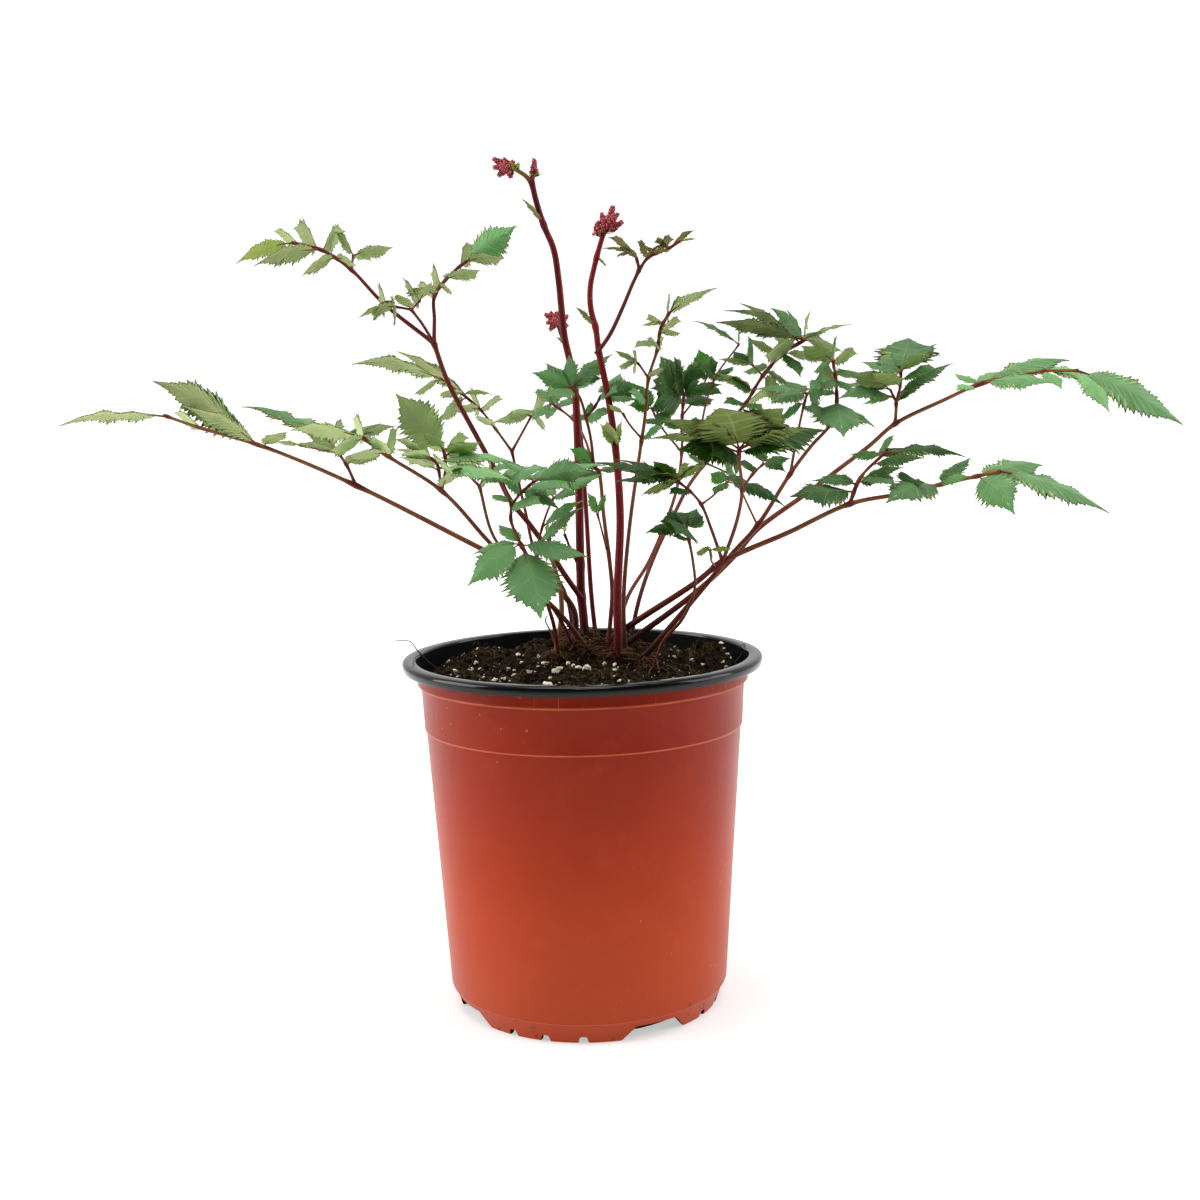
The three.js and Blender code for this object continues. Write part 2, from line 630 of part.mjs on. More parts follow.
function toothedSide(teeth) {
  const pitch = 0.86 / teeth;
  const side = [];
  for (let k = 0; k < teeth; k++) {
    const valley = k * pitch;
    const peak = valley + 0.7 * pitch;
    if (k > 0) side.push([valley, 0.8 * bladeProfile(valley)]);
    side.push([peak, 1.08 * bladeProfile(peak)]);
  }
  return side;
}

function leafletFrame(heading, rise, roll) {
  const h = radians(heading);
  const r = radians(rise);
  const along = new THREE.Vector3(Math.cos(r) * Math.cos(h), Math.cos(r) * Math.sin(h), Math.sin(r));
  const up = new THREE.Vector3(-Math.sin(r) * Math.cos(h), -Math.sin(r) * Math.sin(h), Math.cos(r));
  up.applyAxisAngle(along, radians(roll));
  const across = up.clone().cross(along);
  return { along, up, across };
}

function leafletSolid(foot, [heading, rise, length, width, roll]) {
  const { along, up, across } = leafletFrame(heading, rise, roll);
  const halfWidth = (width * length) / 2;
  const teeth = length >= FOUR_TEETH_FROM ? 4 : length >= THREE_TEETH_FROM ? 3 : 2;
  const onLength = (share) => PETIOLULE_SHARE + (1 - PETIOLULE_SHARE) * share;
  const side = toothedSide(teeth).map(([share, wide]) => [onLength(share), wide * halfWidth]);
  const folded = length >= FOLDED_FROM;
  const chain = folded ? [[PETIOLULE_SHARE, PETIOLULE_HALF_WIDTH], ...side] : side;
  const ribShares = teeth > 2 ? [0.38, 0.72] : folded ? [0.5] : [];

  const place = (share, offset, lift) => {
    const point = foot.clone().addScaledVector(along, share * length);
    point.addScaledVector(across, offset);
    const height = BLADE_ARCH * length * Math.sin(Math.PI * share) - BLADE_FOLD * Math.abs(offset);
    return point.addScaledVector(up, height + lift).toArray();
  };
  const plan = [
    ...chain,
    ...chain.map(([share, offset]) => [share, -offset]),
    ...ribShares.map((share) => [share, 0]),
    [1, 0],
  ];
  const n = chain.length;
  const tip = plan.length - 1;
  const left = [...chain.keys(), tip];
  const right = [...chain.keys()].map((i) => i + n).concat(tip);
  const rib = ribShares.map((share, i) => 2 * n + i).concat(tip);

  // Each half of the blade is zipped to the rib, the nearer point first. A short one has no fold.
  const face = folded ? [[left[0], right[0], rib[0]]] : [[left[n - 1], right[n - 1], tip]];
  if (!folded) {
    for (let i = 0; i < n - 1; i++) {
      face.push([left[i], right[i], right[i + 1]], [left[i], right[i + 1], left[i + 1]]);
    }
  }
  const zip = (edge, turned) => {
    let i = 0;
    let j = 0;
    while (i < edge.length - 1 && j < rib.length - 1) {
      const ahead = plan[edge[i + 1]][0] <= plan[rib[j + 1]][0] && edge[i + 1] !== tip;
      const next = ahead ? edge[i + 1] : rib[j + 1];
      const triangle = [edge[i], rib[j], next];
      face.push(turned ? [triangle[1], triangle[0], triangle[2]] : triangle);
      if (ahead) i++;
      else j++;
    }
  };
  zip(left, false);
  zip(right, true);

  // Both faces, the cut edge between them, and the stalklet that narrows to a point at its foot.
  const count = plan.length;
  const positions = [];
  for (const lift of [BLADE_THICKNESS / 2, -BLADE_THICKNESS / 2]) {
    plan.forEach(([share, offset]) => positions.push(place(share, offset, lift)));
  }
  positions.push(foot.toArray());
  const apex = 2 * count;
  const triangles = [];
  for (const [a, b, c] of face) {
    triangles.push([a, b, c], [a + count, c + count, b + count]);
  }
  const border = [...right, ...left.slice(0, -1).reverse()];
  for (let i = 0; i < border.length - 1; i++) {
    const [a, b] = [border[i], border[i + 1]];
    triangles.push([a, a + count, b + count], [a, b + count, b]);
  }
  const foursome = [right[0], left[0], left[0] + count, right[0] + count];
  foursome.forEach((a, i) => triangles.push([apex, a, foursome[(i + 1) % 4]]));
  return solidFromIndexed(positions, triangles);
}

function plantSolid({ stalks, leaflets }) {
  const pieces = stalks.map(([radii, ...points]) => stalkSolid(points, radii));
  for (const [stalk, place, ...shape] of leaflets) {
    pieces.push(leafletSolid(pointOnStalk(stalks[stalk].slice(1), place), shape));
  }
  return wholeBody(joined(pieces));
}

// Flower heads

function budSpikes(spikes, random) {
  const pieces = [];
  for (const [foot, tip, radius, buds] of spikes) {
    const from = new THREE.Vector3(...foot);
    const axis = new THREE.Vector3(...tip).sub(from);
    const turn = new THREE.Quaternion().setFromUnitVectors(
      new THREE.Vector3(0, 1, 0),
      axis.clone().normalize(),
    );
    const core = new THREE.ConeGeometry(radius, axis.length(), 5);
    core.applyQuaternion(turn);
    core.translate(...from.clone().addScaledVector(axis, 0.5).toArray());
    pieces.push(solidFromGeometry(core));
    for (let i = 0; i < buds; i++) {
      const share = (i + 0.3) / buds;
      const angle = GOLDEN_ANGLE * i + random();
      const outward = new THREE.Vector3(Math.cos(angle), 0.5, Math.sin(angle)).normalize();
      const bud = new THREE.ConeGeometry(BUD_RADIUS, BUD_LENGTH, 3);
      const lean = new THREE.Quaternion().setFromUnitVectors(new THREE.Vector3(0, 1, 0), outward);
      bud.translate(0, 0.15 * BUD_LENGTH, 0);
      bud.applyQuaternion(lean);
      const reach = radius * (1 - share) * 0.8;
      bud.translate(outward.x * reach, axis.length() * share, outward.z * reach);
      bud.applyQuaternion(turn);
      bud.translate(...foot);
      pieces.push(solidFromGeometry(bud));
    }
  }
  return joined(pieces);
}

// Growing medium

function soilHeight(x, y) {
  const reach = (x - MOUND_CENTRE[0]) ** 2 + (y - MOUND_CENTRE[1]) ** 2;
  const mound = MOUND_RISE * Math.exp(-reach / (2 * MOUND_SPREAD ** 2));
  const crown = CROWN_RISE * Math.exp(-reach / (2 * CROWN_SPREAD ** 2));
  return SOIL_LEVEL + mound + crown;
}

function innerRadius(height) {
  const share = (height - SHOULDER_HEIGHT) / (COLLAR_HEIGHT - SHOULDER_HEIGHT);
  return SHOULDER_RADIUS - WALL + (COLLAR_RADIUS - SHOULDER_RADIUS - 1.6) * share;
}

function soilSolid() {
  const random = seeded(11);
  const n = POT_SEGMENTS;
  const edge = innerRadius(SOIL_LEVEL - 1) - CLEARANCE;
  const low = SHOULDER_HEIGHT + WALL + CLEARANCE;
  const rings = SOIL_RINGS.map((radius) => [radius, null]);
  rings.push([edge, SOIL_LEVEL - 1]);
  rings.push([innerRadius(low) - CLEARANCE, low]);
  rings.push([FLOOR_RADIUS - WALL - CLEARANCE, low]);
  rings.push([FLOOR_RADIUS - WALL - CLEARANCE, WALL + 0.3 + CLEARANCE]);
  const positions = [[0, 0, soilHeight(0, 0)]];
  for (const [radius, height] of rings) {
    for (let k = 0; k < n; k++) {
      const angle = (2 * Math.PI * k) / n;
      const x = radius * Math.cos(angle);
      const y = radius * Math.sin(angle);
      const lump = radius > 25 ? LUMP * (2 * random() - 1) : 0;
      positions.push([x, y, height === null ? soilHeight(x, y) + lump : height]);
    }
  }
  positions.push([0, 0, WALL + 0.3 + CLEARANCE]);
  const bottom = positions.length - 1;
  const triangles = [];
  for (let k = 0; k < n; k++) {
    const next = (k + 1) % n;
    triangles.push([0, 1 + k, 1 + next]);
    for (let i = 0; i < rings.length - 1; i++) {
      const a = 1 + i * n + k;
      const b = 1 + i * n + next;
      triangles.push([a, a + n, b + n], [a, b + n, b]);
    }
    const last = 1 + (rings.length - 1) * n;
    triangles.push([last + k, bottom, last + next]);
  }
  return solidFromIndexed(positions, triangles);
}

// Pot

function potSolid() {
  const skirtTop = SHOULDER_HEIGHT - 0.8;
  const lip = POT_HEIGHT - LIP_DROP;
  const profile = [
    [0, 0],
    [FLOOR_RADIUS, 0],
    [FLOOR_RADIUS + 1.2, skirtTop],
    [FOOT_RADIUS - 2.1, skirtTop],
    [FOOT_RADIUS - 3.3, 0],
    [FOOT_RADIUS - 0.6, 0],
    [SHOULDER_RADIUS - 0.9, SHOULDER_HEIGHT - 0.6],
    [SHOULDER_RADIUS, SHOULDER_HEIGHT],
    [BAND_RADIUS - 0.6, BAND_HEIGHT - 0.8],
    [BAND_RADIUS, BAND_HEIGHT],
    [COLLAR_RADIUS - 1.5, COLLAR_HEIGHT - 0.9],
    [COLLAR_RADIUS, COLLAR_HEIGHT],
    [COLLAR_RADIUS + 0.2, lip],
    [RIM_RADIUS - 0.5, lip],
    [RIM_RADIUS, POT_HEIGHT - 1.1],
    [RIM_RADIUS - 0.9, POT_HEIGHT],
    [COLLAR_RADIUS + 0.3, POT_HEIGHT],
    [COLLAR_RADIUS - 1.3, COLLAR_HEIGHT + 0.6],
    [innerRadius(SOIL_LEVEL - 0.2), SOIL_LEVEL - 0.2],
    [innerRadius(SHOULDER_HEIGHT + WALL), SHOULDER_HEIGHT + WALL],
    [FLOOR_RADIUS - WALL, SHOULDER_HEIGHT + WALL],
    [FLOOR_RADIUS - WALL, WALL + 0.3],
    [0, WALL + 0.3],
  ];
  const lathe = new THREE.LatheGeometry(
    profile.map(([radius, height]) => new THREE.Vector2(radius, height)),
    POT_SEGMENTS,
  );
  lathe.rotateX(Math.PI / 2);
  let pot = solidFromGeometry(lathe);
  for (let i = 0; i < DRAIN_OPENINGS; i++) {
    const middle = DRAIN_FIRST_ANGLE + (i * 360) / DRAIN_OPENINGS;
    pot = pot.subtract(drainOpening(middle));
    pot = pot.subtract(drainSlot(middle));
    for (const step of NOTCH_ANGLES) pot = pot.subtract(footNotch(middle + step));
  }
  return pot;
}

function outwards(geometry, angle) {
  geometry.rotateX(Math.PI / 2);
  geometry.rotateZ(radians(angle) + Math.PI / 2);
  return geometry;
}

// A sloping-sided opening in the foot skirt, cut from the outside as far as the channel behind it.
function drainOpening(angle) {
  const half = DRAIN_FOOT_WIDTH / 2;
  const shape = new THREE.Shape();
  shape.moveTo(-half - 1, -1);
  shape.lineTo(half + 1, -1);
  shape.lineTo(DRAIN_TOP_WIDTH / 2, DRAIN_HEIGHT);
  shape.lineTo(-DRAIN_TOP_WIDTH / 2, DRAIN_HEIGHT);
  const block = new THREE.ExtrudeGeometry(shape, { depth: 20, bevelEnabled: false });
  block.translate(0, 0, FLOOR_RADIUS + 1.4);
  return solidFromGeometry(outwards(block, angle));
}

// A slot through the roof of the channel, where water leaves the pot.
function drainSlot(angle) {
  const slot = new THREE.BoxGeometry(16, 6, 4.5);
  slot.translate(0, SHOULDER_HEIGHT + 0.5, FLOOR_RADIUS + 4.2);
  return solidFromGeometry(outwards(slot, angle));
}

function footNotch(angle) {
  const shape = new THREE.Shape();
  shape.moveTo(-NOTCH_RADIUS - 0.4, -1);
  shape.lineTo(NOTCH_RADIUS + 0.4, -1);
  shape.lineTo(NOTCH_RADIUS * 0.7, 3.2);
  shape.lineTo(-NOTCH_RADIUS * 0.7, 3.2);
  const block = new THREE.ExtrudeGeometry(shape, { depth: 8, bevelEnabled: false });
  block.translate(0, 0, FOOT_RADIUS - 4);
  return solidFromGeometry(outwards(block, angle));
}

// Assembly

const astilbe = new THREE.Group();
astilbe.add(namedMesh("pot", potSolid(), "pot"));

let soil = soilSolid();
for (const { stalks } of PLANTS) {
  const [radii, ...points] = stalks[0];
  soil = soil.subtract(stalkSolid(points, radii, CLEARANCE * 1.3, 2));
}
astilbe.add(namedMesh("growing_medium", soil, "soil"));

for (const plant of PLANTS) {
  const look = plant.name.startsWith("stem") ? "flowerStem" : "frond";
  astilbe.add(namedMesh(plant.name, plantSolid(plant), look));
}

FLOWER_HEADS.forEach(({ name, stem, on, spikes }, i) => {
  const [radii, ...points] = PLANTS.find((plant) => plant.name === stem).stalks[on];
  const neck = stalkSolid(points.slice(-2), [radii[1], radii[1]], CLEARANCE * 1.3);
  const head = budSpikes(spikes, seeded(40 + i));
  astilbe.add(namedMesh(name, wholeBody(head.subtract(neck)), "flower"));
});

export default astilbe;
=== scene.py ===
# A young astilbe in bud, in a nursery pot.
# Blender works in metres; the plant's and the pot's own numbers are in millimetres.
import bpy
import math
import random
import numpy as np
from mathutils import Matrix, Quaternion, Vector, noise
from mathutils.kdtree import KDTree


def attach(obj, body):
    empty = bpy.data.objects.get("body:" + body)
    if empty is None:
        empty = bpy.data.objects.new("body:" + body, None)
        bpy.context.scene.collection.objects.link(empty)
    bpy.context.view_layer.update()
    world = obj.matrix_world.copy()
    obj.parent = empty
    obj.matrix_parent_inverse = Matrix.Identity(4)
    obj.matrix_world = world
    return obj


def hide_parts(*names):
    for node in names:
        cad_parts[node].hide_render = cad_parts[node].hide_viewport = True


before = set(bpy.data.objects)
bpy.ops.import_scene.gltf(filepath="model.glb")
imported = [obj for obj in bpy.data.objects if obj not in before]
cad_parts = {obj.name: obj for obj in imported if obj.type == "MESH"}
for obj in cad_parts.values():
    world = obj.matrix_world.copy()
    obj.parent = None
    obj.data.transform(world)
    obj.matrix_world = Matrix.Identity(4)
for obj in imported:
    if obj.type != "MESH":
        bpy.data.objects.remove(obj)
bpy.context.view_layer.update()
mm = 0.001
fullTurn = 2 * math.pi


# small helpers

def deselectAll():
    bpy.ops.object.select_all(action="DESELECT")


def pick(piece):
    deselectAll()
    piece.select_set(True)
    bpy.context.view_layer.objects.active = piece


def linked(name, data):
    piece = bpy.data.objects.new(name, data)
    bpy.context.scene.collection.objects.link(piece)
    return piece


def editMode(on):
    bpy.ops.object.mode_set(mode="EDIT" if on else "OBJECT")
    if on:
        bpy.ops.mesh.select_all(action="SELECT")


def applyModifier(piece, kind, **settings):
    modifier = piece.modifiers.new(kind.lower(), kind)
    for name, value in settings.items():
        setattr(modifier, name, value)
    pick(piece)
    bpy.ops.object.modifier_apply(modifier=modifier.name)


def joinInto(piece, others):
    pick(piece)
    for other in others:
        other.select_set(True)
    bpy.ops.object.join()
    return piece


def removePieces(*pieces):
    for piece in pieces:
        bpy.data.objects.remove(piece, do_unlink=True)


def giveMaterials(mesh, materials, slot=None):
    mesh.materials.clear()
    for material in materials:
        mesh.materials.append(material)
    if slot is not None:
        mesh.polygons.foreach_set("material_index", [slot] * len(mesh.polygons))


def setTone(mesh, tones):
    # one colour per point: red = how red or bronze, green = how light, blue = share along a stalk
    tone = mesh.attributes.new("tone", "FLOAT_COLOR", "POINT")
    tone.data.foreach_set("color", [c for t in tones for c in (*t, 1.0)])


def meshPiece(name, points, faces, materials, slot, tones):
    mesh = bpy.data.meshes.new(name)
    mesh.from_pydata([tuple(p) for p in points], [], faces)
    giveMaterials(mesh, materials, slot)
    mesh.shade_smooth()
    setTone(mesh, tones)
    return linked(name, mesh)


# camera

cameraSettings = {
    "place": (0.0, -703.1, 278.0),
    "pitchDown": 7.44,
    "yawRight": 0.70,
    "roll": -1.18,
    "lens": 46.49,
    "sensor": 36.0,
    "clip": (0.01, 50),
}


def addCamera(s):
    data = bpy.data.cameras.new("camera")
    data.lens, data.sensor_width = s["lens"], s["sensor"]
    data.clip_start, data.clip_end = s["clip"]
    camera = linked("camera", data)
    turn = Matrix.Rotation(math.radians(-s["yawRight"]), 4, "Z")
    tilt = Matrix.Rotation(math.radians(90 - s["pitchDown"]), 4, "X")
    roll = Matrix.Rotation(math.radians(s["roll"]), 4, "Z")
    camera.matrix_world = Matrix.Translation(Vector(s["place"]) * mm) @ turn @ tilt @ roll
    bpy.context.scene.camera = camera


addCamera(cameraSettings)
bpy.context.scene.view_settings.view_transform = "Standard"      # plain, unfilmic whites
print("camera placed")


# shader building blocks: a socket knows its own node tree, so only new starting points are told it

def newMaterial(name, roughness, specular):
    material = bpy.data.materials.new(name)
    material.use_nodes = True
    shader = material.node_tree.nodes["Principled BSDF"]
    shader.inputs["Roughness"].default_value = roughness
    shader.inputs["Specular IOR Level"].default_value = specular
    return material, material.node_tree, shader


def isSocket(value):
    return isinstance(value, bpy.types.NodeSocket)


def addNode(tree, kind, inputs=(), **settings):
    # inputs: name or number -> a socket to link, or a value
    node = tree.nodes.new(kind)
    for name, value in settings.items():
        setattr(node, name, value)
    for key, value in dict(inputs).items():
        if isSocket(value):
            tree.links.new(value, node.inputs[key])
        else:
            node.inputs[key].default_value = value
    return node


def maths(operation, a, b=0.0, clamp=False):
    tree = (a if isSocket(a) else b).id_data
    return addNode(tree, "ShaderNodeMath", {0: a, 1: b}, operation=operation, use_clamp=clamp).outputs[0]


def plus(a, b, clamp=False):
    return maths("ADD", a, b, clamp)


def less(a, b, clamp=False):
    return maths("SUBTRACT", a, b, clamp)


def times(a, b, clamp=False):
    return maths("MULTIPLY", a, b, clamp)


def closeTo(distance, width):
    # 1 on the line, 0 at its width and beyond
    return less(1.0, maths("DIVIDE", distance, width), clamp=True)


def mixed(share, a, b):
    return addNode(share.id_data, "ShaderNodeMix", {0: share, 6: a, 7: b}, data_type="RGBA").outputs[2]


def ramp(value, low, high):
    return addNode(value.id_data, "ShaderNodeMapRange", {0: value, 1: low, 2: high},
                   interpolation_type="SMOOTHSTEP").outputs[0]


def stretched(value, source, target):
    # a straight line from one pair of values to another
    return addNode(value.id_data, "ShaderNodeMapRange", {0: value, 1: source[0], 2: source[1],
                                                         3: target[0], 4: target[1]}).outputs[0]


def objectPlace(tree):
    return addNode(tree, "ShaderNodeTexCoord").outputs["Object"]


def partsOf(vector):
    return addNode(vector.id_data, "ShaderNodeSeparateXYZ", {0: vector}).outputs


def noiseAt(place, scale, detail=3.0, rough=0.55):
    return addNode(place.id_data, "ShaderNodeTexNoise", {"Vector": place, "Scale": scale, "Detail": detail,
                                                         "Roughness": rough}).outputs["Fac"]


def objectNoise(tree, scale, detail=3.0, rough=0.55, stretch=None):
    place = objectPlace(tree)
    if stretch:
        place = addNode(tree, "ShaderNodeMapping", {"Vector": place, "Scale": (1.0, 1.0, stretch)}).outputs[0]
    return noiseAt(place, scale, detail, rough)


def noises(tree, c, *names):
    return [objectNoise(tree, *c[name]) for name in names]


def feed(shader, name, socket):
    shader.id_data.links.new(socket, shader.inputs[name])


def layered(colour, *layers):
    # layers: (share, colour above), from the bottom up
    for share, above in layers:
        colour = mixed(share, colour, above)
    return colour


def bump(shader, height, strength, depth):
    node = addNode(shader.id_data, "ShaderNodeBump", {"Height": height, "Strength": strength,
                                                      "Distance": depth * mm})
    feed(shader, "Normal", node.outputs[0])


def newGroup(name, inputs, outputs):
    group = bpy.data.node_groups.new(name, "ShaderNodeTree")
    for label, value in inputs:
        socket = group.interface.new_socket(label, in_out="INPUT", socket_type="NodeSocketFloat")
        socket.default_value = value
    for label in outputs:
        group.interface.new_socket(label, in_out="OUTPUT", socket_type="NodeSocketFloat")
    return group, group.nodes.new("NodeGroupInput").outputs, group.nodes.new("NodeGroupOutput")


def useGroup(tree, group, *values):
    node = addNode(tree, "ShaderNodeGroup", node_tree=group)
    for socket, value in zip(node.inputs, values):
        socket.default_value = value
    return node.outputs


def makeVeinGroup():
    # The blade's UV: x counts the teeth in sixteenths, y runs across with the rib at a half.
    # A side vein runs to every other tooth.
    group, given, end = newGroup("leafVeins", [("Vein Width", 0.07), ("Rib Width", 0.05)],
                                 ["Veins", "Across", "Between"])
    along, side = partsOf(addNode(group, "ShaderNodeUVMap", uv_map="blade").outputs[0])[:2]
    across = times(maths("ABSOLUTE", less(side, 0.5)), 2.0)
    toVein = maths("ABSOLUTE", less(maths("FRACT", plus(times(along, 8.0), 0.5)), 0.5))
    vein = closeTo(toVein, times(given["Vein Width"], less(1.3, across)))
    rib = closeTo(across, given["Rib Width"])
    for name, socket in (("Veins", maths("MAXIMUM", vein, rib)), ("Across", across), ("Between", toVein)):
        group.links.new(socket, end.inputs[name])
    return group


def makeDustGroup():
    # pale dust that lies in patches and on what faces up
    group, given, end = newGroup("dust", [("Amount", 0.3), ("Scale", 40.0), ("Upward", 0.3)], ["Dust"])
    patches = ramp(noiseAt(objectPlace(group), given["Scale"], 6.0, 0.7), 0.5, 0.75)
    up = partsOf(addNode(group, "ShaderNodeNewGeometry").outputs["Normal"])[2]
    lying = plus(patches, times(up, given["Upward"]), clamp=True)
    group.links.new(times(lying, given["Amount"], clamp=True), end.inputs["Dust"])
    return group


veinGroup = makeVeinGroup()
dustGroup = makeDustGroup()


def toneOf(tree):
    colour = addNode(tree, "ShaderNodeAttribute", attribute_name="tone").outputs["Color"]
    return addNode(tree, "ShaderNodeSeparateColor", {0: colour}).outputs[:3]


# the plant's finishes; a leaf mixes from its shade colour to its sun colour

leafFinish = {
    "bronze": (0.125, 0.062, 0.018, 1),
    "edge": (0.060, 0.030, 0.020, 1),
    "young": (0.380, 0.470, 0.120, 1),
    "seeThrough": (0.55, 1.0, 0.18),
    "seeThroughDepth": 0.8,
    "patchiness": 0.5,
    "youngFrom": 0.85,
    "speckle": (90.0, 1.0),
    "veinHeights": (0.9, 0.8),      # of the puckers between the veins and of the veins
    "leafUpper": {
        "shade": (0.013, 0.046, 0.004, 1), "sun": (0.196, 0.395, 0.162, 1), "vein": (0.25, 0.40, 0.14, 1),
        "gloss": (0.40, 0.13), "dull": 0.16, "seeThrough": 0.35,
        "veinWidths": (0.06, 0.04), "veinShow": (0.24, 0.3), "patches": (55.0, 4.0, 0.6),
        "flush": (1.6, 0.6), "edge": (0.88, 0.7), "relief": (0.18, 0.3),
    },
    "leafUnder": {
        "shade": (0.135, 0.190, 0.042, 1), "sun": (0.460, 0.530, 0.260, 1), "vein": (0.50, 0.55, 0.27, 1),
        "gloss": (0.68, 0.12), "dull": 0, "seeThrough": 0.25,
        "veinWidths": (0.07, 0.055), "veinShow": (0.36, 0.0), "patches": (70.0, 4.0, 0.6),
        "flush": (0.8, 0.0), "edge": (0.86, 0.75), "relief": None,
    },
}


def leafMaterial(name, c):
    s = c[name]
    material, tree, shader = newMaterial(name, *s["gloss"])
    shader.inputs["Subsurface Weight"].default_value = s["seeThrough"]
    shader.inputs["Subsurface Radius"].default_value = c["seeThrough"]
    shader.inputs["Subsurface Scale"].default_value = c["seeThroughDepth"] * mm
    veins = useGroup(tree, veinGroup, *s["veinWidths"])
    red, light, _ = toneOf(tree)
    patches = objectNoise(tree, *s["patches"])
    share = less(plus(times(patches, c["patchiness"]), light), c["patchiness"] / 2, clamp=True)
    veinLeast, veinMore = s["veinShow"]
    flush, flushSpeckle = s["flush"]
    speckle = times(objectNoise(tree, *c["speckle"]), flushSpeckle)
    edgeFrom, edgeShow = s["edge"]
    feed(shader, "Base Color", layered(
        s["shade"], (share, s["sun"]), (ramp(light, c["youngFrom"], 1.0), c["young"]),
        (times(veins["Veins"], plus(times(share, veinMore), veinLeast)), s["vein"]),
        (less(times(red, flush), speckle, clamp=True), c["bronze"]),
        (times(ramp(veins["Across"], edgeFrom, 1.0), edgeShow), c["edge"])))
    if s["dull"]:
        feed(shader, "Roughness", plus(times(ramp(patches, 0.2, 0.8), s["dull"]), s["gloss"][0]))
    if s["relief"]:
        between, veined = c["veinHeights"]
        bump(shader, less(times(veins["Between"], between), times(veins["Veins"], veined)), *s["relief"])
    return material


stalkFinish = {
    "red": (0.105, 0.012, 0.012, 1),
    "orange": (0.250, 0.075, 0.024, 1),
    "olive": (0.130, 0.085, 0.024, 1),
    "green": (0.300, 0.300, 0.090, 1),
    "foot": (0.022, 0.006, 0.004, 1),
    "footReach": (0.02, 0.2),
    "gloss": (0.42, 0.12),
    "streaks": (260.0, 3.0, 0.6, 0.12),
    "mottle": (140.0, 3.0, 0.6),
    "relief": (0.35, 0.12),
}
stemFinish = {
    **stalkFinish,
    "maroon": (0.052, 0.005, 0.005, 1),
    "maroonLight": (0.180, 0.010, 0.011, 1),
    "crimson": (0.240, 0.009, 0.013, 1),
    "footReach": (0.02, 0.16),
    "gloss": (0.40, 0.14),
    "streaks": (300.0, 3.0, 0.6, 0.08),
    "mottle": (120.0, 4.0, 0.6),
    "relief": (0.35, 0.15),
}


def darkFoot(along, c):
    return less(1.0, ramp(along, *c["footReach"])), c["foot"]


def stalkMaterial(c):
    # tone red: 0 green, 0.5 olive-orange, 1 red
    material, tree, shader = newMaterial("stalk", *c["gloss"])
    red, light, along = toneOf(tree)
    streaks, mottle = noises(tree, c, "streaks", "mottle")
    feed(shader, "Base Color", layered(
        c["green"], (ramp(red, 0.0, 0.45), mixed(mottle, c["olive"], c["orange"])),
        (ramp(plus(red, times(streaks, 0.5)), 0.62, 1.15), c["red"]), (times(light, 0.35), c["orange"]),
        darkFoot(along, c)))
    bump(shader, streaks, *c["relief"])
    return material


def flowerStemMaterial(c):
    material, tree, shader = newMaterial("flowerStem", *c["gloss"])
    red, light, along = toneOf(tree)
    streaks, mottle = noises(tree, c, "streaks", "mottle")
    feed(shader, "Base Color", layered(
        c["maroon"], (ramp(streaks, 0.35, 0.75), c["maroonLight"]), (times(light, 0.8), c["crimson"]),
        (times(mottle, 0.25), c["red"]), (less(1.0, red, clamp=True), c["green"]), darkFoot(along, c)))
    bump(shader, plus(streaks, mottle), *c["relief"])
    return material


hairFinish = {
    "gloss": (0.5, 0.4),
    "shade": (400.0,),
    "pale": ((0.55, 0.50, 0.36, 1), (0.75, 0.70, 0.58, 1)),
    "brown": ((0.10, 0.045, 0.018, 1), (0.30, 0.15, 0.055, 1)),
}


def hairMaterial(c):
    material, tree, shader = newMaterial("hair", *c["gloss"])
    shade, = noises(tree, c, "shade")
    feed(shader, "Base Color", mixed(toneOf(tree)[0], mixed(shade, *c["pale"]), mixed(shade, *c["brown"])))
    return material


budFinish = {
    "gloss": (0.5, 0.25),
    "mottle": (700.0,),
    "crimson": ((0.130, 0.009, 0.018, 1), (0.42, 0.045, 0.060, 1)),
    "pink": (0.60, 0.150, 0.150, 1),
    "base": ((0.10, 0.13, 0.035, 1), (0.26, 0.27, 0.08, 1)),
    "relief": (0.4, 0.2),
}


def budMaterial(c):
    # tone red 1 at the crimson tip, 0 at the green base
    material, tree, shader = newMaterial("bud", *c["gloss"])
    red, light, _ = toneOf(tree)
    mottle, = noises(tree, c, "mottle")
    crimson = mixed(times(light, 0.6), mixed(mottle, *c["crimson"]), c["pink"])
    feed(shader, "Base Color", mixed(ramp(red, 0.15, 0.5), mixed(mottle, *c["base"]), crimson))
    bump(shader, mottle, *c["relief"])
    return material


plantMaterials = [leafMaterial("leafUpper", leafFinish), leafMaterial("leafUnder", leafFinish),
                  stalkMaterial(stalkFinish), flowerStemMaterial(stemFinish), hairMaterial(hairFinish),
                  budMaterial(budFinish)]
leafSlot, underSlot, stalkSlot, stemSlot, hairSlot, budSlot = range(6)
print("plant materials ready")
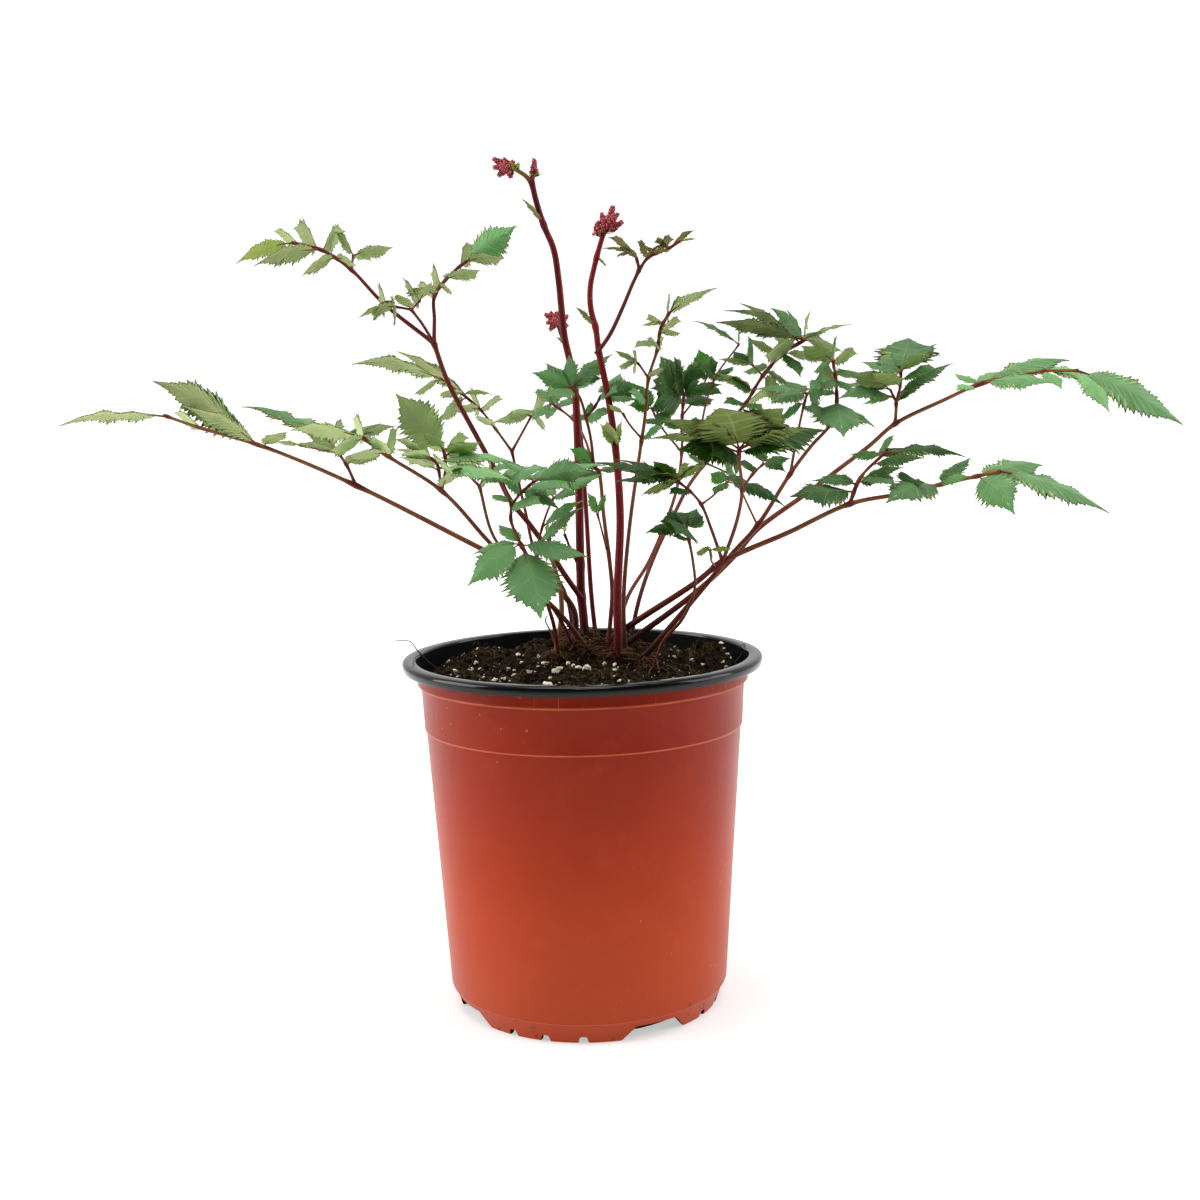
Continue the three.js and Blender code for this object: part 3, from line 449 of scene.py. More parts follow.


# curves through given points

def curvePoints(points, steps):
    # centripetal curve: the same line through the same points as the solids'
    pts = [Vector(p) for p in points]
    out = [pts[0].copy()]
    for i in range(len(pts) - 1):
        p1, p2 = pts[i], pts[i + 1]
        p0 = pts[i - 1] if i > 0 else p1 * 2 - p2
        p3 = pts[i + 2] if i + 2 < len(pts) else p2 * 2 - p1
        d0, d1, d2 = (max((b - a).length_squared ** 0.25, 1e-4)
                      for a, b in ((p0, p1), (p1, p2), (p2, p3)))
        t1 = ((p1 - p0) / d0 - (p2 - p0) / (d0 + d1) + (p2 - p1) / d1) * d1
        t2 = ((p2 - p1) / d1 - (p3 - p1) / (d1 + d2) + (p3 - p2) / d2) * d1
        for k in range(1, steps + 1):
            t = k / steps
            out.append(p1 + t1 * t + (-3 * p1 + 3 * p2 - 2 * t1 - t2) * t ** 2
                       + (2 * p1 - 2 * p2 + t1 + t2) * t ** 3)
    return out


def between(line, at):
    # the two neighbours on a fine line round a place on it, and the share of the way from one to the other
    low = min(int(at), len(line) - 2)
    return line[low], line[low + 1], at - low


def spot(points, place, steps=20):
    # the point at a place counted along the listed points
    at = min(max(place, 0.0), len(points) - 1) * steps
    a, b, share = between(curvePoints(points, steps), at)
    return a.lerp(b, share)


def tubes(name, lines, sides, slot, materials):
    # lines: [[(point, radius, tone), ...], ...] in millimetres
    data = bpy.data.curves.new(name, "CURVE")
    data.dimensions = "3D"
    data.fill_mode = "FULL"
    data.bevel_depth = mm
    data.bevel_resolution = sides // 2 - 2
    data.use_fill_caps = True
    nearest = KDTree(sum(len(line) for line in lines))
    tones = []
    for line in lines:
        spline = data.splines.new("POLY")
        spline.points.add(len(line) - 1)
        for knot, (point, radius, tone) in zip(spline.points, line):
            knot.co = (*(point * mm), 1.0)
            knot.radius = radius
            nearest.insert(point * mm, len(tones))
            tones.append(tone)
    nearest.balance()
    pick(linked(name, data))
    bpy.ops.object.convert(target="MESH")
    piece = bpy.context.object
    giveMaterials(piece.data, materials, slot)
    piece.data.shade_smooth()
    setTone(piece.data, [tones[nearest.find(vertex.co)[1]] for vertex in piece.data.vertices])
    return piece


# leaf blades: three sizes are modelled flat, and each leaflet is a copy that is folded and bent

bladeForms = {
    "large": {"teeth": 13, "columns": 4, "from": 34},      # for leaflets from so many millimetres
    "middle": {"teeth": 10, "columns": 3, "from": 19},
    "small": {"teeth": 7, "columns": 2, "from": 0},
}
bladeLook = {
    "firstTooth": 0.015,
    "teethReach": 0.975,
    "teethCrowd": 1.04,
    "toothStep": (0.97, 0.72),      # of the even pitch, and for the last tooth
    "foot": (0.05, 0.16),           # widths at the stalklet and where the blade begins
    # one tooth: forward along its step, share of the blade's width, lift of the pucker
    "tooth": ((0.0, 0.76, 0.4), (0.46, 1.02, 1.0), (0.50, 0.88, 0.8), (1.08, 1.18, -0.6)),
    "tip": 0.004,
    "stalklet": 0.1,      # share of the leaflet's length without a blade
    "arch": 0.06,
    "fold": 0.22,
    "veinLean": 0.22,     # how far the side veins lean forward
    "thickness": 0.8,     # in hundredths of the length, as the puckers
    "pucker": 0.32,
    # how much one leaflet differs from the next
    "twist": 14,
    "sickle": 0.035,
    "wave": 0.012,
    "droop": 0.09,
    "foldRange": (0.7, 1.35),
    "margin": (0.018, 23),      # height and pace of the ripples along its margin
}


def bladeWidth(share):
    drawnOut = 1 - 0.62 * min(1.0, max(0.0, (share - 0.6) / 0.3))
    return 3.08 * max(share, 0.0) ** 0.7 * max(1 - share, 0.0) ** 0.95 * drawnOut


def bladeOutline(teeth, look):
    # for each row of the blade: share of its length, width, lift
    starts = [look["firstTooth"] + look["teethReach"] * (k / teeth) ** look["teethCrowd"]
              for k in range(teeth + 1)]
    footWidth, firstWidth = look["foot"]
    outline = [(0.0, footWidth, 0.0)]
    for k in range(teeth):
        step = (starts[k + 1] - starts[k]) * look["toothStep"][k == teeth - 1]
        for forward, wide, lift in look["tooth"]:
            share = starts[k] + forward * step
            width = wide * bladeWidth(share) if k or forward else firstWidth
            outline.append((share, width, lift))
    return outline + [(1.0, look["tip"], 0.0)]


def makeBlade(name, form, look):
    outline = bladeOutline(form["teeth"], look)
    rows = len(outline) - 1
    deselectAll()
    bpy.ops.mesh.primitive_grid_add(x_subdivisions=rows, y_subdivisions=2 * form["columns"], size=1,
                                    calc_uvs=True)
    blade = bpy.context.object
    blade.name = name
    mesh = blade.data
    puckers = []
    for vertex in mesh.vertices:
        row = round((vertex.co.x + 0.5) * rows)
        q = vertex.co.y * 2
        share, width, lift = outline[row]
        onRib = share - 4 * look["veinLean"] * share * (1 - share)
        vertex.co = (onRib + (share - onRib) * abs(q) ** 0.9, q * width, 0)
        puckers.append(look["pucker"] * lift * 4 * abs(q) * (1 - abs(q)))
    mesh.uv_layers[0].name = "blade"
    for corner in mesh.uv_layers[0].data:
        corner.uv.x *= rows / 4 / 16
    applyModifier(blade, "SOLIDIFY", thickness=look["thickness"], offset=0)
    giveMaterials(mesh, plantMaterials)
    mesh.shade_smooth()
    sharp = set()      # the edges of the narrow rim
    for face in mesh.polygons:
        face.material_index = leafSlot if face.normal.z > 0.02 else underSlot
        if abs(face.normal.z) < 0.02:
            sharp.update(face.edge_keys)
    marks = mesh.attributes.new("sharp_edge", "BOOLEAN", "EDGE")
    marks.data.foreach_set("value", [key in sharp for key in mesh.edge_keys])
    for vertex in mesh.vertices:      # the wall came in two layers with the points in the same order
        vertex.co.z += puckers[vertex.index % len(puckers)]
    return blade


def leafletAxes(heading, rise, roll):
    h, r = math.radians(heading), math.radians(rise)
    along = Vector((math.cos(r) * math.cos(h), math.cos(r) * math.sin(h), math.sin(r)))
    up = Vector((-math.sin(r) * math.cos(h), -math.sin(r) * math.sin(h), math.cos(r)))
    up.rotate(Matrix.Rotation(math.radians(roll), 3, along))
    return along, up, up.cross(along)


def placeLeaflet(name, foot, shape, tone, chance, look=bladeLook):
    heading, rise, length, width, roll = shape
    kind = next(kind for kind, form in bladeForms.items() if length >= form["from"])
    along, up, across = leafletAxes(heading, rise, roll)
    leaflet = linked(name, blades[kind].data.copy())
    mesh = leaflet.data
    grid = np.empty(len(mesh.vertices) * 3)
    mesh.vertices.foreach_get("co", grid)
    s, w, z = grid.reshape(-1, 3).T
    share = look["stalklet"] + (1 - look["stalklet"]) * s
    bow = np.sin(math.pi * share)
    offset = w * width * length / 2
    ripple, pace = look["margin"]
    twist = math.radians(chance.uniform(-look["twist"], look["twist"])) * (share - 0.3)
    sickle = chance.uniform(-look["sickle"], look["sickle"]) * length * bow ** 2
    wave = look["wave"] * length * chance.uniform(-1, 1) * np.sin(fullTurn * (share + chance.random()))
    droop = chance.uniform(0.0, look["droop"]) * length * np.clip(share - 0.5, 0, 1) ** 2 * 4
    fold = look["fold"] * chance.uniform(*look["foldRange"])
    edge = np.abs(w) ** 1.5 * ripple * length * np.sin(share * pace + chance.uniform(0, 6)) * np.sign(w)
    sideways = offset * np.cos(twist) + sickle
    height = (look["arch"] * length * bow - fold * np.abs(offset) + z * length / 100
              + (wave + edge) * bow + offset * np.sin(twist))
    place = (np.array(foot)[None, :] + np.outer(share * length, np.array(along))
             + np.outer(sideways, np.array(across)) + np.outer(height, np.array(up))
             - np.outer(droop, (0, 0, 1)))
    mesh.vertices.foreach_set("co", (place * mm).ravel())
    mesh.update()
    setTone(mesh, [tone] * len(mesh.vertices))
    return leaflet


blades = {kind: makeBlade("blade_" + kind, form, bladeLook) for kind, form in bladeForms.items()}
print("blades modelled:", {kind: len(blade.data.polygons) for kind, blade in blades.items()})


# the fronds' own lists: a stalk is its foot and tip radius and its points; a leaflet is its stalk, its
# place along the stalk's points, heading, rise, length, width by length, and roll. reds: how red the main
# stalk is at its foot and tip; pale: how light its leaves are painted, lighter further out, painted shade
# on the crowded centre and on the fronds in shade; crimson: flower stems only.

fronds = {
    "frond_left_low": {"reds": (0.8, 0.35), "pale": 0.35, "bronze": 0.12, "stalks": [
        [[1.5, 0.7], [-5, 5, 155], [-3, 5, 179], [-7, 5, 187], [-13, 5, 193], [-47, 8, 211], [-103, 16, 240],
         [-145, 24, 258], [-177, 28, 268], [-193, 28, 274]],
        [[0.8, 0.6], [-103, 16, 240], [-107, 18, 249], [-111, 20, 255]],
        [[0.6, 0.5], [-111, 20, 255], [-120, 34, 263]],
        [[0.6, 0.5], [-111, 20, 255], [-102, 6, 262]],
        [[0.55, 0.45], [-111, 20, 255], [-128, 16, 259]],
    ], "leaflets": [
        [0, 7.9, -168, -2, 48, 0.27, 20], [0, 6.15, 167, 33, 60, 0.38, 55], [0, 6.1, -154, 30, 39, 0.36, 25],
        [0, 6.95, 139, 20, 23, 0.42, 55], [2, 1, 161, 20, 46, 0.34, -5], [2, 1, 145, 21, 30, 0.6, -5],
        [2, 0.65, 77, 20, 23, 0.6, -75], [1, 1.95, -149, 16, 24, 0.34, 20], [4, 1, -150, 11, 12, 0.5, 20],
        [3, 1, 24, 15, 21, 0.5, -30], [3, 1, -57, -1, 24, 0.56, -25], [1, 1.1, 16, 20, 23, 0.45, -35],
        [0, 6.05, -37, 24, 19, 0.55, -10], [1, 2, 166, 33, 20, 0.5, 50], [3, 0.4, -46, 36, 18, 0.55, 5],
        [1, 1.1, -49, 16, 22, 0.5, -15], [2, 1, -135, 21, 18, 0.45, 15], [3, 1, 59, 18, 20, 0.45, 5],
    ]},
    "frond_left_front": {"reds": (0.85, 0.55), "pale": 0.75, "bronze": 0.05, "stalks": [
        [[1.2, 0.7], [8, -9, 156], [-7, -14, 179], [-16, -22, 190], [-28, -32, 204], [-40, -42, 219],
         [-57, -58, 241], [-78, -64, 256], [-88, -66, 264]],
        [[0.6, 0.5], [-57, -58, 241], [-58, -66, 253], [-60, -68, 255]],
        [[0.7, 0.5], [-57, -58, 241], [-55, -56, 252], [-56, -54, 258]],
    ], "leaflets": [
        [0, 7, 169, 8, 31, 0.45, 30], [0, 6.9, -122, -10, 22, 0.56, 40], [0, 6.9, 112, 24, 21, 0.56, 85],
        [0, 6.1, 74, 35, 18, 0.62, -80], [0, 6.1, -131, 1, 21, 0.5, 30], [2, 1.95, 180, 52, 31, 0.6, 75],
        [2, 1.85, 50, 23, 17, 0.6, -55], [2, 1.65, -17, -13, 19, 0.5, -35], [1, 2, 153, 27, 20, 0.47, 40],
        [1, 2, -125, 9, 20, 0.45, 20], [1, 1, -67, -7, 20, 0.56, -50], [2, 1.55, -35, 17, 20, 0.6, -25],
        [1, 0.75, -27, -7, 35, 0.3, 20], [1, 1, 162, 19, 20, 0.3, 40], [1, 0.65, -136, 18, 22, 0.26, 15],
        [1, 1, 25, 1, 37, 0.3, 15], [0, 6, -104, 28, 19, 0.5, -15], [1, 0.05, -60, 30, 24, 0.45, 15],
        [2, 1.95, -118, 33, 16, 0.5, 0], [1, 1, 130, 0, 21, 0.45, 25], [1, 2, 131, 34, 13, 0.55, 75],
    ]},
    "frond_left_short": {"reds": (0.85, 0.55), "pale": 0.45, "bronze": 0.05, "stalks": [
        [[0.9, 0.7], [0, -7, 156], [-11, -14, 182], [-27, -20, 203], [-38, -25, 219], [-43, -30, 241]],
        [[0.6, 0.5], [-43, -30, 241], [-51, -32, 250], [-54, -34, 256]],
        [[0.6, 0.5], [-43, -30, 241], [-38, -25, 247]],
    ], "leaflets": [
        [1, 1.95, 174, 17, 18, 0.45, 30], [1, 1.55, 94, 22, 18, 0.56, -60], [2, 1, 104, 42, 11, 0.56, 85],
        [2, 1, 42, 12, 17, 0.4, 15], [0, 4, -52, 23, 19, 0.45, 45], [1, 0.95, 129, 16, 16, 0.5, 50],
    ]},
    "frond_left_back": {"reds": (1.0, 0.85), "pale": 0.62, "bronze": 0.12, "stalks": [
        [[1, 0.7], [-3, 24, 151], [-8, 32, 187], [-21, 40, 203], [-26, 46, 224], [-29, 50, 238],
         [-32, 52, 253]],
        [[0.7, 0.5], [-32, 52, 253], [-40, 58, 264], [-47, 62, 273], [-56, 66, 281]],
        [[0.5, 0.45], [-56, 66, 281], [-67, 70, 289]],
        [[0.7, 0.5], [-32, 52, 253], [-22, 52, 270]],
    ], "leaflets": [
        [2, 0.95, 167, 14, 48, 0.27, 35], [2, 0.95, -132, -21, 20, 0.56, 35],
        [1, 2.55, 144, 30, 55, 0.22, 50], [1, 3, -32, 1, 19, 0.34, -20], [1, 2.8, -135, -30, 21, 0.56, 55],
        [1, 2.05, 106, 21, 24, 0.56, 80], [3, 1, -169, -6, 20, 0.56, 30], [3, 1, 70, 23, 25, 0.56, -75],
        [3, 1, -67, -13, 18, 0.56, -60], [1, 3, -121, 5, 19, 0.5, 25], [1, 2.05, -136, 2, 18, 0.5, 30],
        [1, 2.05, 56, 16, 20, 0.5, -45], [3, 1, 119, 10, 21, 0.6, -10], [1, 1.05, -119, 23, 18, 0.45, 0],
        [3, 1, -132, 4, 16, 0.55, 30],
    ]},
    "frond_front_left": {"reds": (0.85, 0.55), "pale": 0.58, "bronze": 0.05, "stalks": [
        [[1, 0.8], [-10, -12, 152], [-12, -22, 176], [-15, -34, 190], [-20, -46, 207], [-25, -56, 218]],
        [[0.7, 0.5], [-25, -56, 218], [-29, -50, 228], [-28, -46, 234], [-24, -42, 239], [-19, -40, 243]],
        [[0.6, 0.5], [-29, -50, 228], [-29, -47, 234], [-32, -46, 243]],
        [[0.6, 0.5], [-20, -46, 207], [-17, -36, 220], [-14, -28, 229], [-11, -22, 235]],
    ], "leaflets": [
        [0, 3.85, -64, -59, 33, 0.75, 10], [0, 4, -160, -33, 28, 0.52, -50],
        [0, 3.95, -9, -10, 29, 0.46, 30], [0, 4, 135, 30, 16, 0.6, -5], [0, 4, 160, -9, 23, 0.42, -25],
        [2, 1.95, -163, 28, 23, 0.4, -35], [2, 1.95, 74, 22, 22, 0.56, -20], [1, 4, 0, 15, 32, 0.42, 20],
        [1, 3.65, -50, 1, 28, 0.5, 20], [1, 4, 74, 19, 18, 0.45, -20], [3, 3, 0, 25, 25, 0.36, 20],
        [3, 0.7, -19, 39, 27, 0.4, 35], [3, 1.3, -1, 34, 22, 0.34, 30], [1, 2, -58, 4, 24, 0.5, 30],
        [3, 3, 118, 16, 19, 0.56, 0], [1, 4, -33, 12, 30, 0.42, 70], [3, 3, -31, 22, 25, 0.32, 40],
        [1, 4, -141, 30, 22, 0.3, -45], [1, 2.95, -40, -14, 22, 0.4, 15], [2, 1.95, -169, 25, 22, 0.26, -25],
        [2, 1.95, -39, 18, 26, 0.42, 40], [1, 4, 61, 9, 23, 0.5, 5], [1, 2, 130, 16, 16, 0.5, 0],
        [1, 2.95, -121, 23, 18, 0.5, -60], [1, 2.95, 56, -3, 19, 0.45, 25], [3, 3, -53, 9, 18, 0.4, 35],
    ]},
    "frond_mid": {"reds": (0.85, 0.55), "pale": 0.3, "bronze": 0.05, "stalks": [
        [[1.1, 0.8], [10, -12, 154], [13, -12, 179], [14, -11, 192], [11, -5, 225], [9, 0, 245],
         [7, 0, 247]],
        [[0.7, 0.5], [7, 0, 247], [3, 18, 260], [-2, 28, 268], [-12, 34, 276]],
        [[0.8, 0.6], [7, 0, 247], [6, -2, 259], [4, -4, 269], [1, -6, 279], [-2, -8, 282]],
        [[0.6, 0.5], [4, -4, 269], [8, -4, 274], [11, -6, 279]],
        [[0.5, 0.45], [12, -8, 210], [9, -16, 223], [8, -18, 227]],
    ], "leaflets": [
        [1, 3, -132, -30, 16, 0.56, -5], [1, 2.8, 122, 29, 20, 0.56, 5], [1, 2.65, 63, 22, 17, 0.56, -5],
        [2, 4, 103, 76, 17, 0.62, -65], [2, 4, 139, 39, 20, 0.6, -10], [2, 4, -150, 22, 22, 0.4, -80],
        [2, 4, 18, 40, 25, 0.55, 25], [2, 3.9, -1, 24, 15, 0.56, 25], [2, 4, -120, -9, 23, 0.5, -20],
        [3, 2, 17, 11, 21, 0.45, 65], [3, 2, 58, 29, 21, 0.56, -10], [3, 1.85, 2, -5, 18, 0.38, 35],
        [4, 1.9, -137, 60, 12, 0.56, -75], [4, 1.9, 43, 59, 11, 0.56, -15], [0, 5, -152, 39, 16, 0.45, -85],
        [0, 3.95, -129, 1, 20, 0.4, -30], [2, 4, 112, -3, 19, 0.55, -45], [3, 1, 115, -18, 16, 0.5, -65],
        [2, 2, -51, 11, 18, 0.5, 50], [1, 3, -95, 25, 15, 0.6, -85], [3, 2, -69, 6, 19, 0.5, 45],
        [1, 2.65, 114, -8, 18, 0.5, -50], [1, 2, 63, 7, 18, 0.5, 15], [0, 3.95, 55, 6, 20, 0.4, 15],
        [0, 5, -117, 11, 16, 0.45, -45],
    ]},
    "frond_upright": {"reds": (0.75, 0.35), "pale": 0.65, "bronze": 0.15, "stalks": [
        [[1.1, 0.6], [20, -13, 153], [19, -12, 185], [22, -12, 218], [28, -10, 256], [30, -10, 268],
         [32, -10, 286], [36, -8, 298], [38, -8, 308], [42, -8, 315]],
        [[0.5, 0.45], [32, -10, 286], [28, -10, 292], [27, -10, 293]],
        [[0.5, 0.45], [29, -10, 259], [23, -16, 266], [20, -20, 271]],
    ], "leaflets": [
        [0, 7.95, -16, 26, 25, 0.26, -25], [0, 7.95, 42, 28, 20, 0.36, -55],
        [0, 7.85, 84, 24, 18, 0.67, -85], [0, 7.3, -150, -5, 12, 0.34, 30], [0, 7, 50, 14, 16, 0.5, -45],
        [0, 6.75, -54, -2, 15, 0.39, -30], [0, 6.3, 131, 0, 16, 0.5, 20], [0, 6.05, -109, 28, 12, 0.56, -35],
        [1, 2, -150, 25, 13, 0.5, 5], [1, 2, -100, -19, 13, 0.45, 85], [2, 1.95, -149, 29, 9, 0.5, 15],
        [0, 7.95, 62, 27, 18, 0.34, -75], [0, 7.3, 122, 11, 14, 0.5, 40], [0, 6.05, 72, 27, 14, 0.5, -85],
        [1, 2, -126, -6, 15, 0.45, 40], [1, 2, 102, 35, 10, 0.5, 85], [0, 5, -57, 23, 13, 0.45, 0],
        [0, 3.2, -46, 27, 16, 0.4, 55], [0, 4.45, -121, 17, 17, 0.5, -60],
    ]},
    "frond_right_low": {"reds": (0.9, 0.35), "pale": -0.15, "bronze": 0.05, "stalks": [
        [[1.6, 0.7], [8, 0, 165], [26, -14, 179], [50, -26, 196], [62, -32, 206], [90, -40, 219],
         [115, -46, 231], [135, -50, 235], [162, -54, 241], [177, -54, 244]],
        [[0.8, 0.5], [115, -46, 231], [120, -44, 242], [131, -40, 252]],
        [[0.8, 0.5], [62, -32, 206], [57, -38, 220], [52, -44, 232], [47, -48, 238], [41, -50, 243]],
        [[0.5, 0.45], [52, -44, 232], [57, -40, 235], [64, -36, 241]],
        [[0.9, 0.7], [62, -32, 206], [67, -46, 225], [68, -58, 239], [66, -66, 252], [66, -68, 256]],
        [[0.6, 0.5], [68, -58, 239], [73, -54, 245], [78, -50, 249]],
        [[0.5, 0.45], [59, -31, 204], [56, -44, 208], [55, -50, 213]],
    ], "leaflets": [
        [0, 8, -11, -20, 47, 0.32, 30], [0, 7.3, 24, 8, 36, 0.48, 25], [0, 7.35, -66, -28, 27, 0.62, 40],
        [0, 6.6, 37, 28, 24, 0.45, 0], [0, 6.6, -48, 16, 16, 0.34, 50], [0, 6.6, -144, -8, 33, 0.55, -20],
        [0, 6.25, 101, 29, 18, 0.55, 15], [1, 0.75, -39, 20, 23, 0.48, 40], [1, 1, -59, -3, 23, 0.45, 15],
        [1, 1.5, -26, 9, 23, 0.4, 30], [1, 2, 6, -1, 36, 0.26, 25], [1, 2, 78, 20, 17, 0.6, -50],
        [1, 1.9, 140, 3, 16, 0.5, -30], [1, 0.7, 138, 13, 19, 0.45, -25], [1, 0.45, -156, -1, 32, 0.5, -30],
        [1, 0.75, -176, 6, 20, 0.34, -25], [2, 4, -155, 1, 29, 0.34, -15], [2, 4, 180, 13, 37, 0.26, -15],
        [2, 3.75, -136, -6, 24, 0.42, 35], [2, 3.85, -138, 34, 18, 0.6, 10], [2, 4, -33, 28, 16, 0.5, -20],
        [3, 2, 141, 25, 10, 0.75, -45], [3, 2, 61, 6, 16, 0.6, 15], [3, 2, -23, -19, 27, 0.34, 25],
        [4, 4, -110, 32, 38, 0.74, 10], [4, 4, -151, 22, 40, 0.36, 25], [4, 4, -63, 31, 37, 0.6, -30],
        [4, 4, 25, 10, 43, 0.45, 25], [4, 3.65, 168, 12, 38, 0.26, 25], [4, 3.2, -150, 8, 31, 0.5, -40],
        [5, 2, 106, 33, 15, 0.6, 20], [5, 2, 18, 10, 13, 0.5, 30], [6, 2, -138, 0, 9, 0.7, 45],
        [6, 2, -12, 5, 10, 0.5, -35], [2, 4, 167, 19, 29, 0.16, -10], [2, 4, -136, 10, 32, 0.34, -45],
        [2, 3.85, -33, 29, 21, 0.2, -10], [4, 3.65, -33, 6, 23, 0.4, 30], [4, 4, -42, 16, 37, 0.3, -15],
        [4, 3.2, -124, 8, 24, 0.55, -50], [3, 2, -125, -22, 13, 0.55, 0], [5, 2, -51, -10, 13, 0.45, 25],
        [5, 1, 99, 24, 15, 0.55, 20], [6, 2, -90, -18, 10, 0.6, -85], [2, 4, -126, 10, 20, 0.45, 15],
        [2, 4, 56, 30, 14, 0.5, -75], [1, 1.8, 38, 13, 18, 0.5, 15], [0, 6.05, -64, 22, 17, 0.45, 55],
        [2, 3.05, -129, 1, 15, 0.5, -25],
    ]},
    "frond_right_long": {"reds": (0.9, 0.35), "pale": -0.06, "bronze": 0.05, "stalks": [
        [[1.5, 0.7], [17, 2, 163], [53, 6, 188], [71, 8, 204], [82, 10, 216], [106, 16, 232], [122, 20, 243],
         [136, 22, 253], [149, 26, 263], [171, 28, 273], [191, 30, 281], [220, 30, 286], [236, 30, 286]],
        [[0.8, 0.7], [149, 26, 263], [149, 24, 270], [149, 24, 273]],
        [[0.6, 0.5], [149, 24, 273], [150, 20, 280], [150, 18, 287]],
        [[0.5, 0.45], [149, 24, 273], [147, 28, 279]],
    ], "leaflets": [
        [0, 11, -10, -28, 54, 0.36, 45], [0, 11, -64, -43, 28, 0.5, 0], [0, 10, 106, 18, 15, 0.45, -5],
        [0, 10, 24, -6, 34, 0.4, 30], [0, 9.05, 18, 15, 48, 0.38, 15], [0, 9, -32, 1, 34, 0.36, 30],
        [0, 8.9, 126, 21, 16, 0.5, -10], [0, 8.8, -131, -3, 18, 0.38, -20], [2, 2, 74, 19, 53, 0.5, 0],
        [2, 2, 35, 30, 28, 0.42, 5], [2, 1.85, 144, 17, 21, 0.45, -20], [3, 1, -145, 20, 26, 0.6, 20],
        [3, 1, 164, 8, 22, 0.4, -25], [3, 0.4, -152, 4, 33, 0.38, -30], [2, 0.55, 5, 30, 30, 0.38, 20],
        [2, 1.45, -50, 15, 23, 0.4, 40], [2, 1.05, -142, 20, 21, 0.6, 15], [1, 1.9, 37, 26, 22, 0.36, 0],
        [3, 0.4, 135, -7, 18, 0.4, -30], [2, 1.75, 113, 34, 20, 0.55, 0], [0, 10, -77, -26, 18, 0.5, 0],
        [0, 8.8, 32, 22, 21, 0.4, 10], [2, 2, -48, 33, 16, 0.5, -15],
    ]},
    "frond_right_upright": {"reds": (0.85, 0.55), "pale": 0.12, "bronze": 0.05, "stalks": [
        [[1.4, 0.6], [23, -18, 157], [46, -22, 184], [67, -26, 209], [78, -26, 221], [93, -22, 243],
         [103, -18, 255], [112, -14, 264], [115, -12, 271], [115, -10, 285], [114, -10, 292]],
        [[0.7, 0.5], [93, -22, 243], [97, -14, 258], [101, -8, 272], [103, -6, 278]],
        [[0.5, 0.45], [78, -26, 221], [73, -14, 234], [70, -10, 242]],
        [[0.45, 0.4], [70, -10, 242], [57, -10, 248]],
    ], "leaflets": [
        [0, 6.05, -133, 25, 21, 0.5, -60], [0, 7.25, -92, -31, 26, 0.85, -5], [0, 7, 0, -24, 20, 0.36, 30],
        [0, 8.05, 44, 5, 20, 0.5, 25], [0, 7.9, -130, -9, 24, 0.45, -20], [0, 9, 42, 13, 18, 0.55, -50],
        [0, 9, 77, 20, 22, 0.6, -85], [0, 9, -148, 21, 20, 0.6, 15], [1, 3, -146, -9, 22, 0.45, -25],
        [1, 3, -73, 15, 24, 0.65, 70], [1, 3, 120, 21, 17, 0.56, -5], [1, 2.3, 133, -27, 17, 0.45, -50],
        [3, 1, -138, -16, 9, 0.45, -10], [2, 2, 74, 46, 12, 0.34, 65], [1, 3, 153, 7, 26, 0.32, -25],
        [0, 7.9, -74, -21, 15, 0.5, 0], [0, 8.05, 105, 15, 19, 0.55, 65], [1, 2.05, -56, -10, 15, 0.45, 20],
        [0, 9, 117, -16, 16, 0.5, -55], [0, 7.45, 137, 6, 13, 0.45, -25], [1, 1, -123, 26, 16, 0.45, -70],
        [1, 3, 60, -17, 17, 0.5, 70], [2, 2, -124, 33, 14, 0.5, -75], [3, 1, 56, 26, 11, 0.5, -10],
    ]},
    "frond_right_back": {"reds": (0.85, 0.55), "pale": 0.05, "bronze": 0.05, "stalks": [
        [[1.1, 0.7], [20, 6, 155], [27, 14, 184], [35, 26, 203], [46, 38, 223], [53, 44, 235], [61, 50, 245],
         [76, 60, 266], [83, 62, 274], [92, 68, 287], [103, 72, 298], [113, 72, 304]],
        [[0.6, 0.45], [61, 50, 245], [61, 66, 261], [69, 78, 286], [82, 84, 303]],
        [[0.5, 0.45], [92, 68, 287], [86, 58, 292]],
    ], "leaflets": [
        [0, 10, -160, 12, 49, 0.3, 20], [0, 9.8, 150, 34, 39, 0.26, 35], [0, 10, -147, 39, 28, 0.36, -65],
        [0, 10, 69, 43, 23, 0.24, -85], [0, 10, -5, 19, 25, 0.22, -20], [0, 10, -49, -13, 25, 0.5, -35],
        [0, 9.6, 123, 18, 22, 0.56, 45], [0, 9, -33, -11, 26, 0.4, -30], [0, 8.8, 158, 30, 20, 0.45, 35],
        [1, 3, 161, 31, 28, 0.24, -15], [1, 3, 79, 36, 18, 0.56, -85], [2, 1, -111, 60, 17, 0.85, -85],
        [2, 1, 160, 13, 18, 0.39, 30], [0, 8.15, -60, -18, 20, 0.45, -45], [0, 7.45, -156, 24, 23, 0.45, 15],
        [0, 6.95, 52, 13, 24, 0.45, -40], [0, 10, -177, 25, 44, 0.24, 15], [0, 9.95, 119, 51, 22, 0.28, 20],
        [0, 9.6, -130, -11, 29, 0.5, 50], [0, 7.45, -144, 20, 19, 0.5, -50], [0, 8, -64, -38, 23, 0.55, -80],
        [0, 10, 153, 29, 20, 0.5, 40], [0, 9, -70, -34, 21, 0.5, -10], [0, 8.35, 130, -6, 19, 0.45, -40],
        [0, 6.95, -137, 4, 17, 0.45, -35], [0, 6.95, -62, -11, 16, 0.45, 15], [0, 6, 122, 19, 17, 0.45, -5],
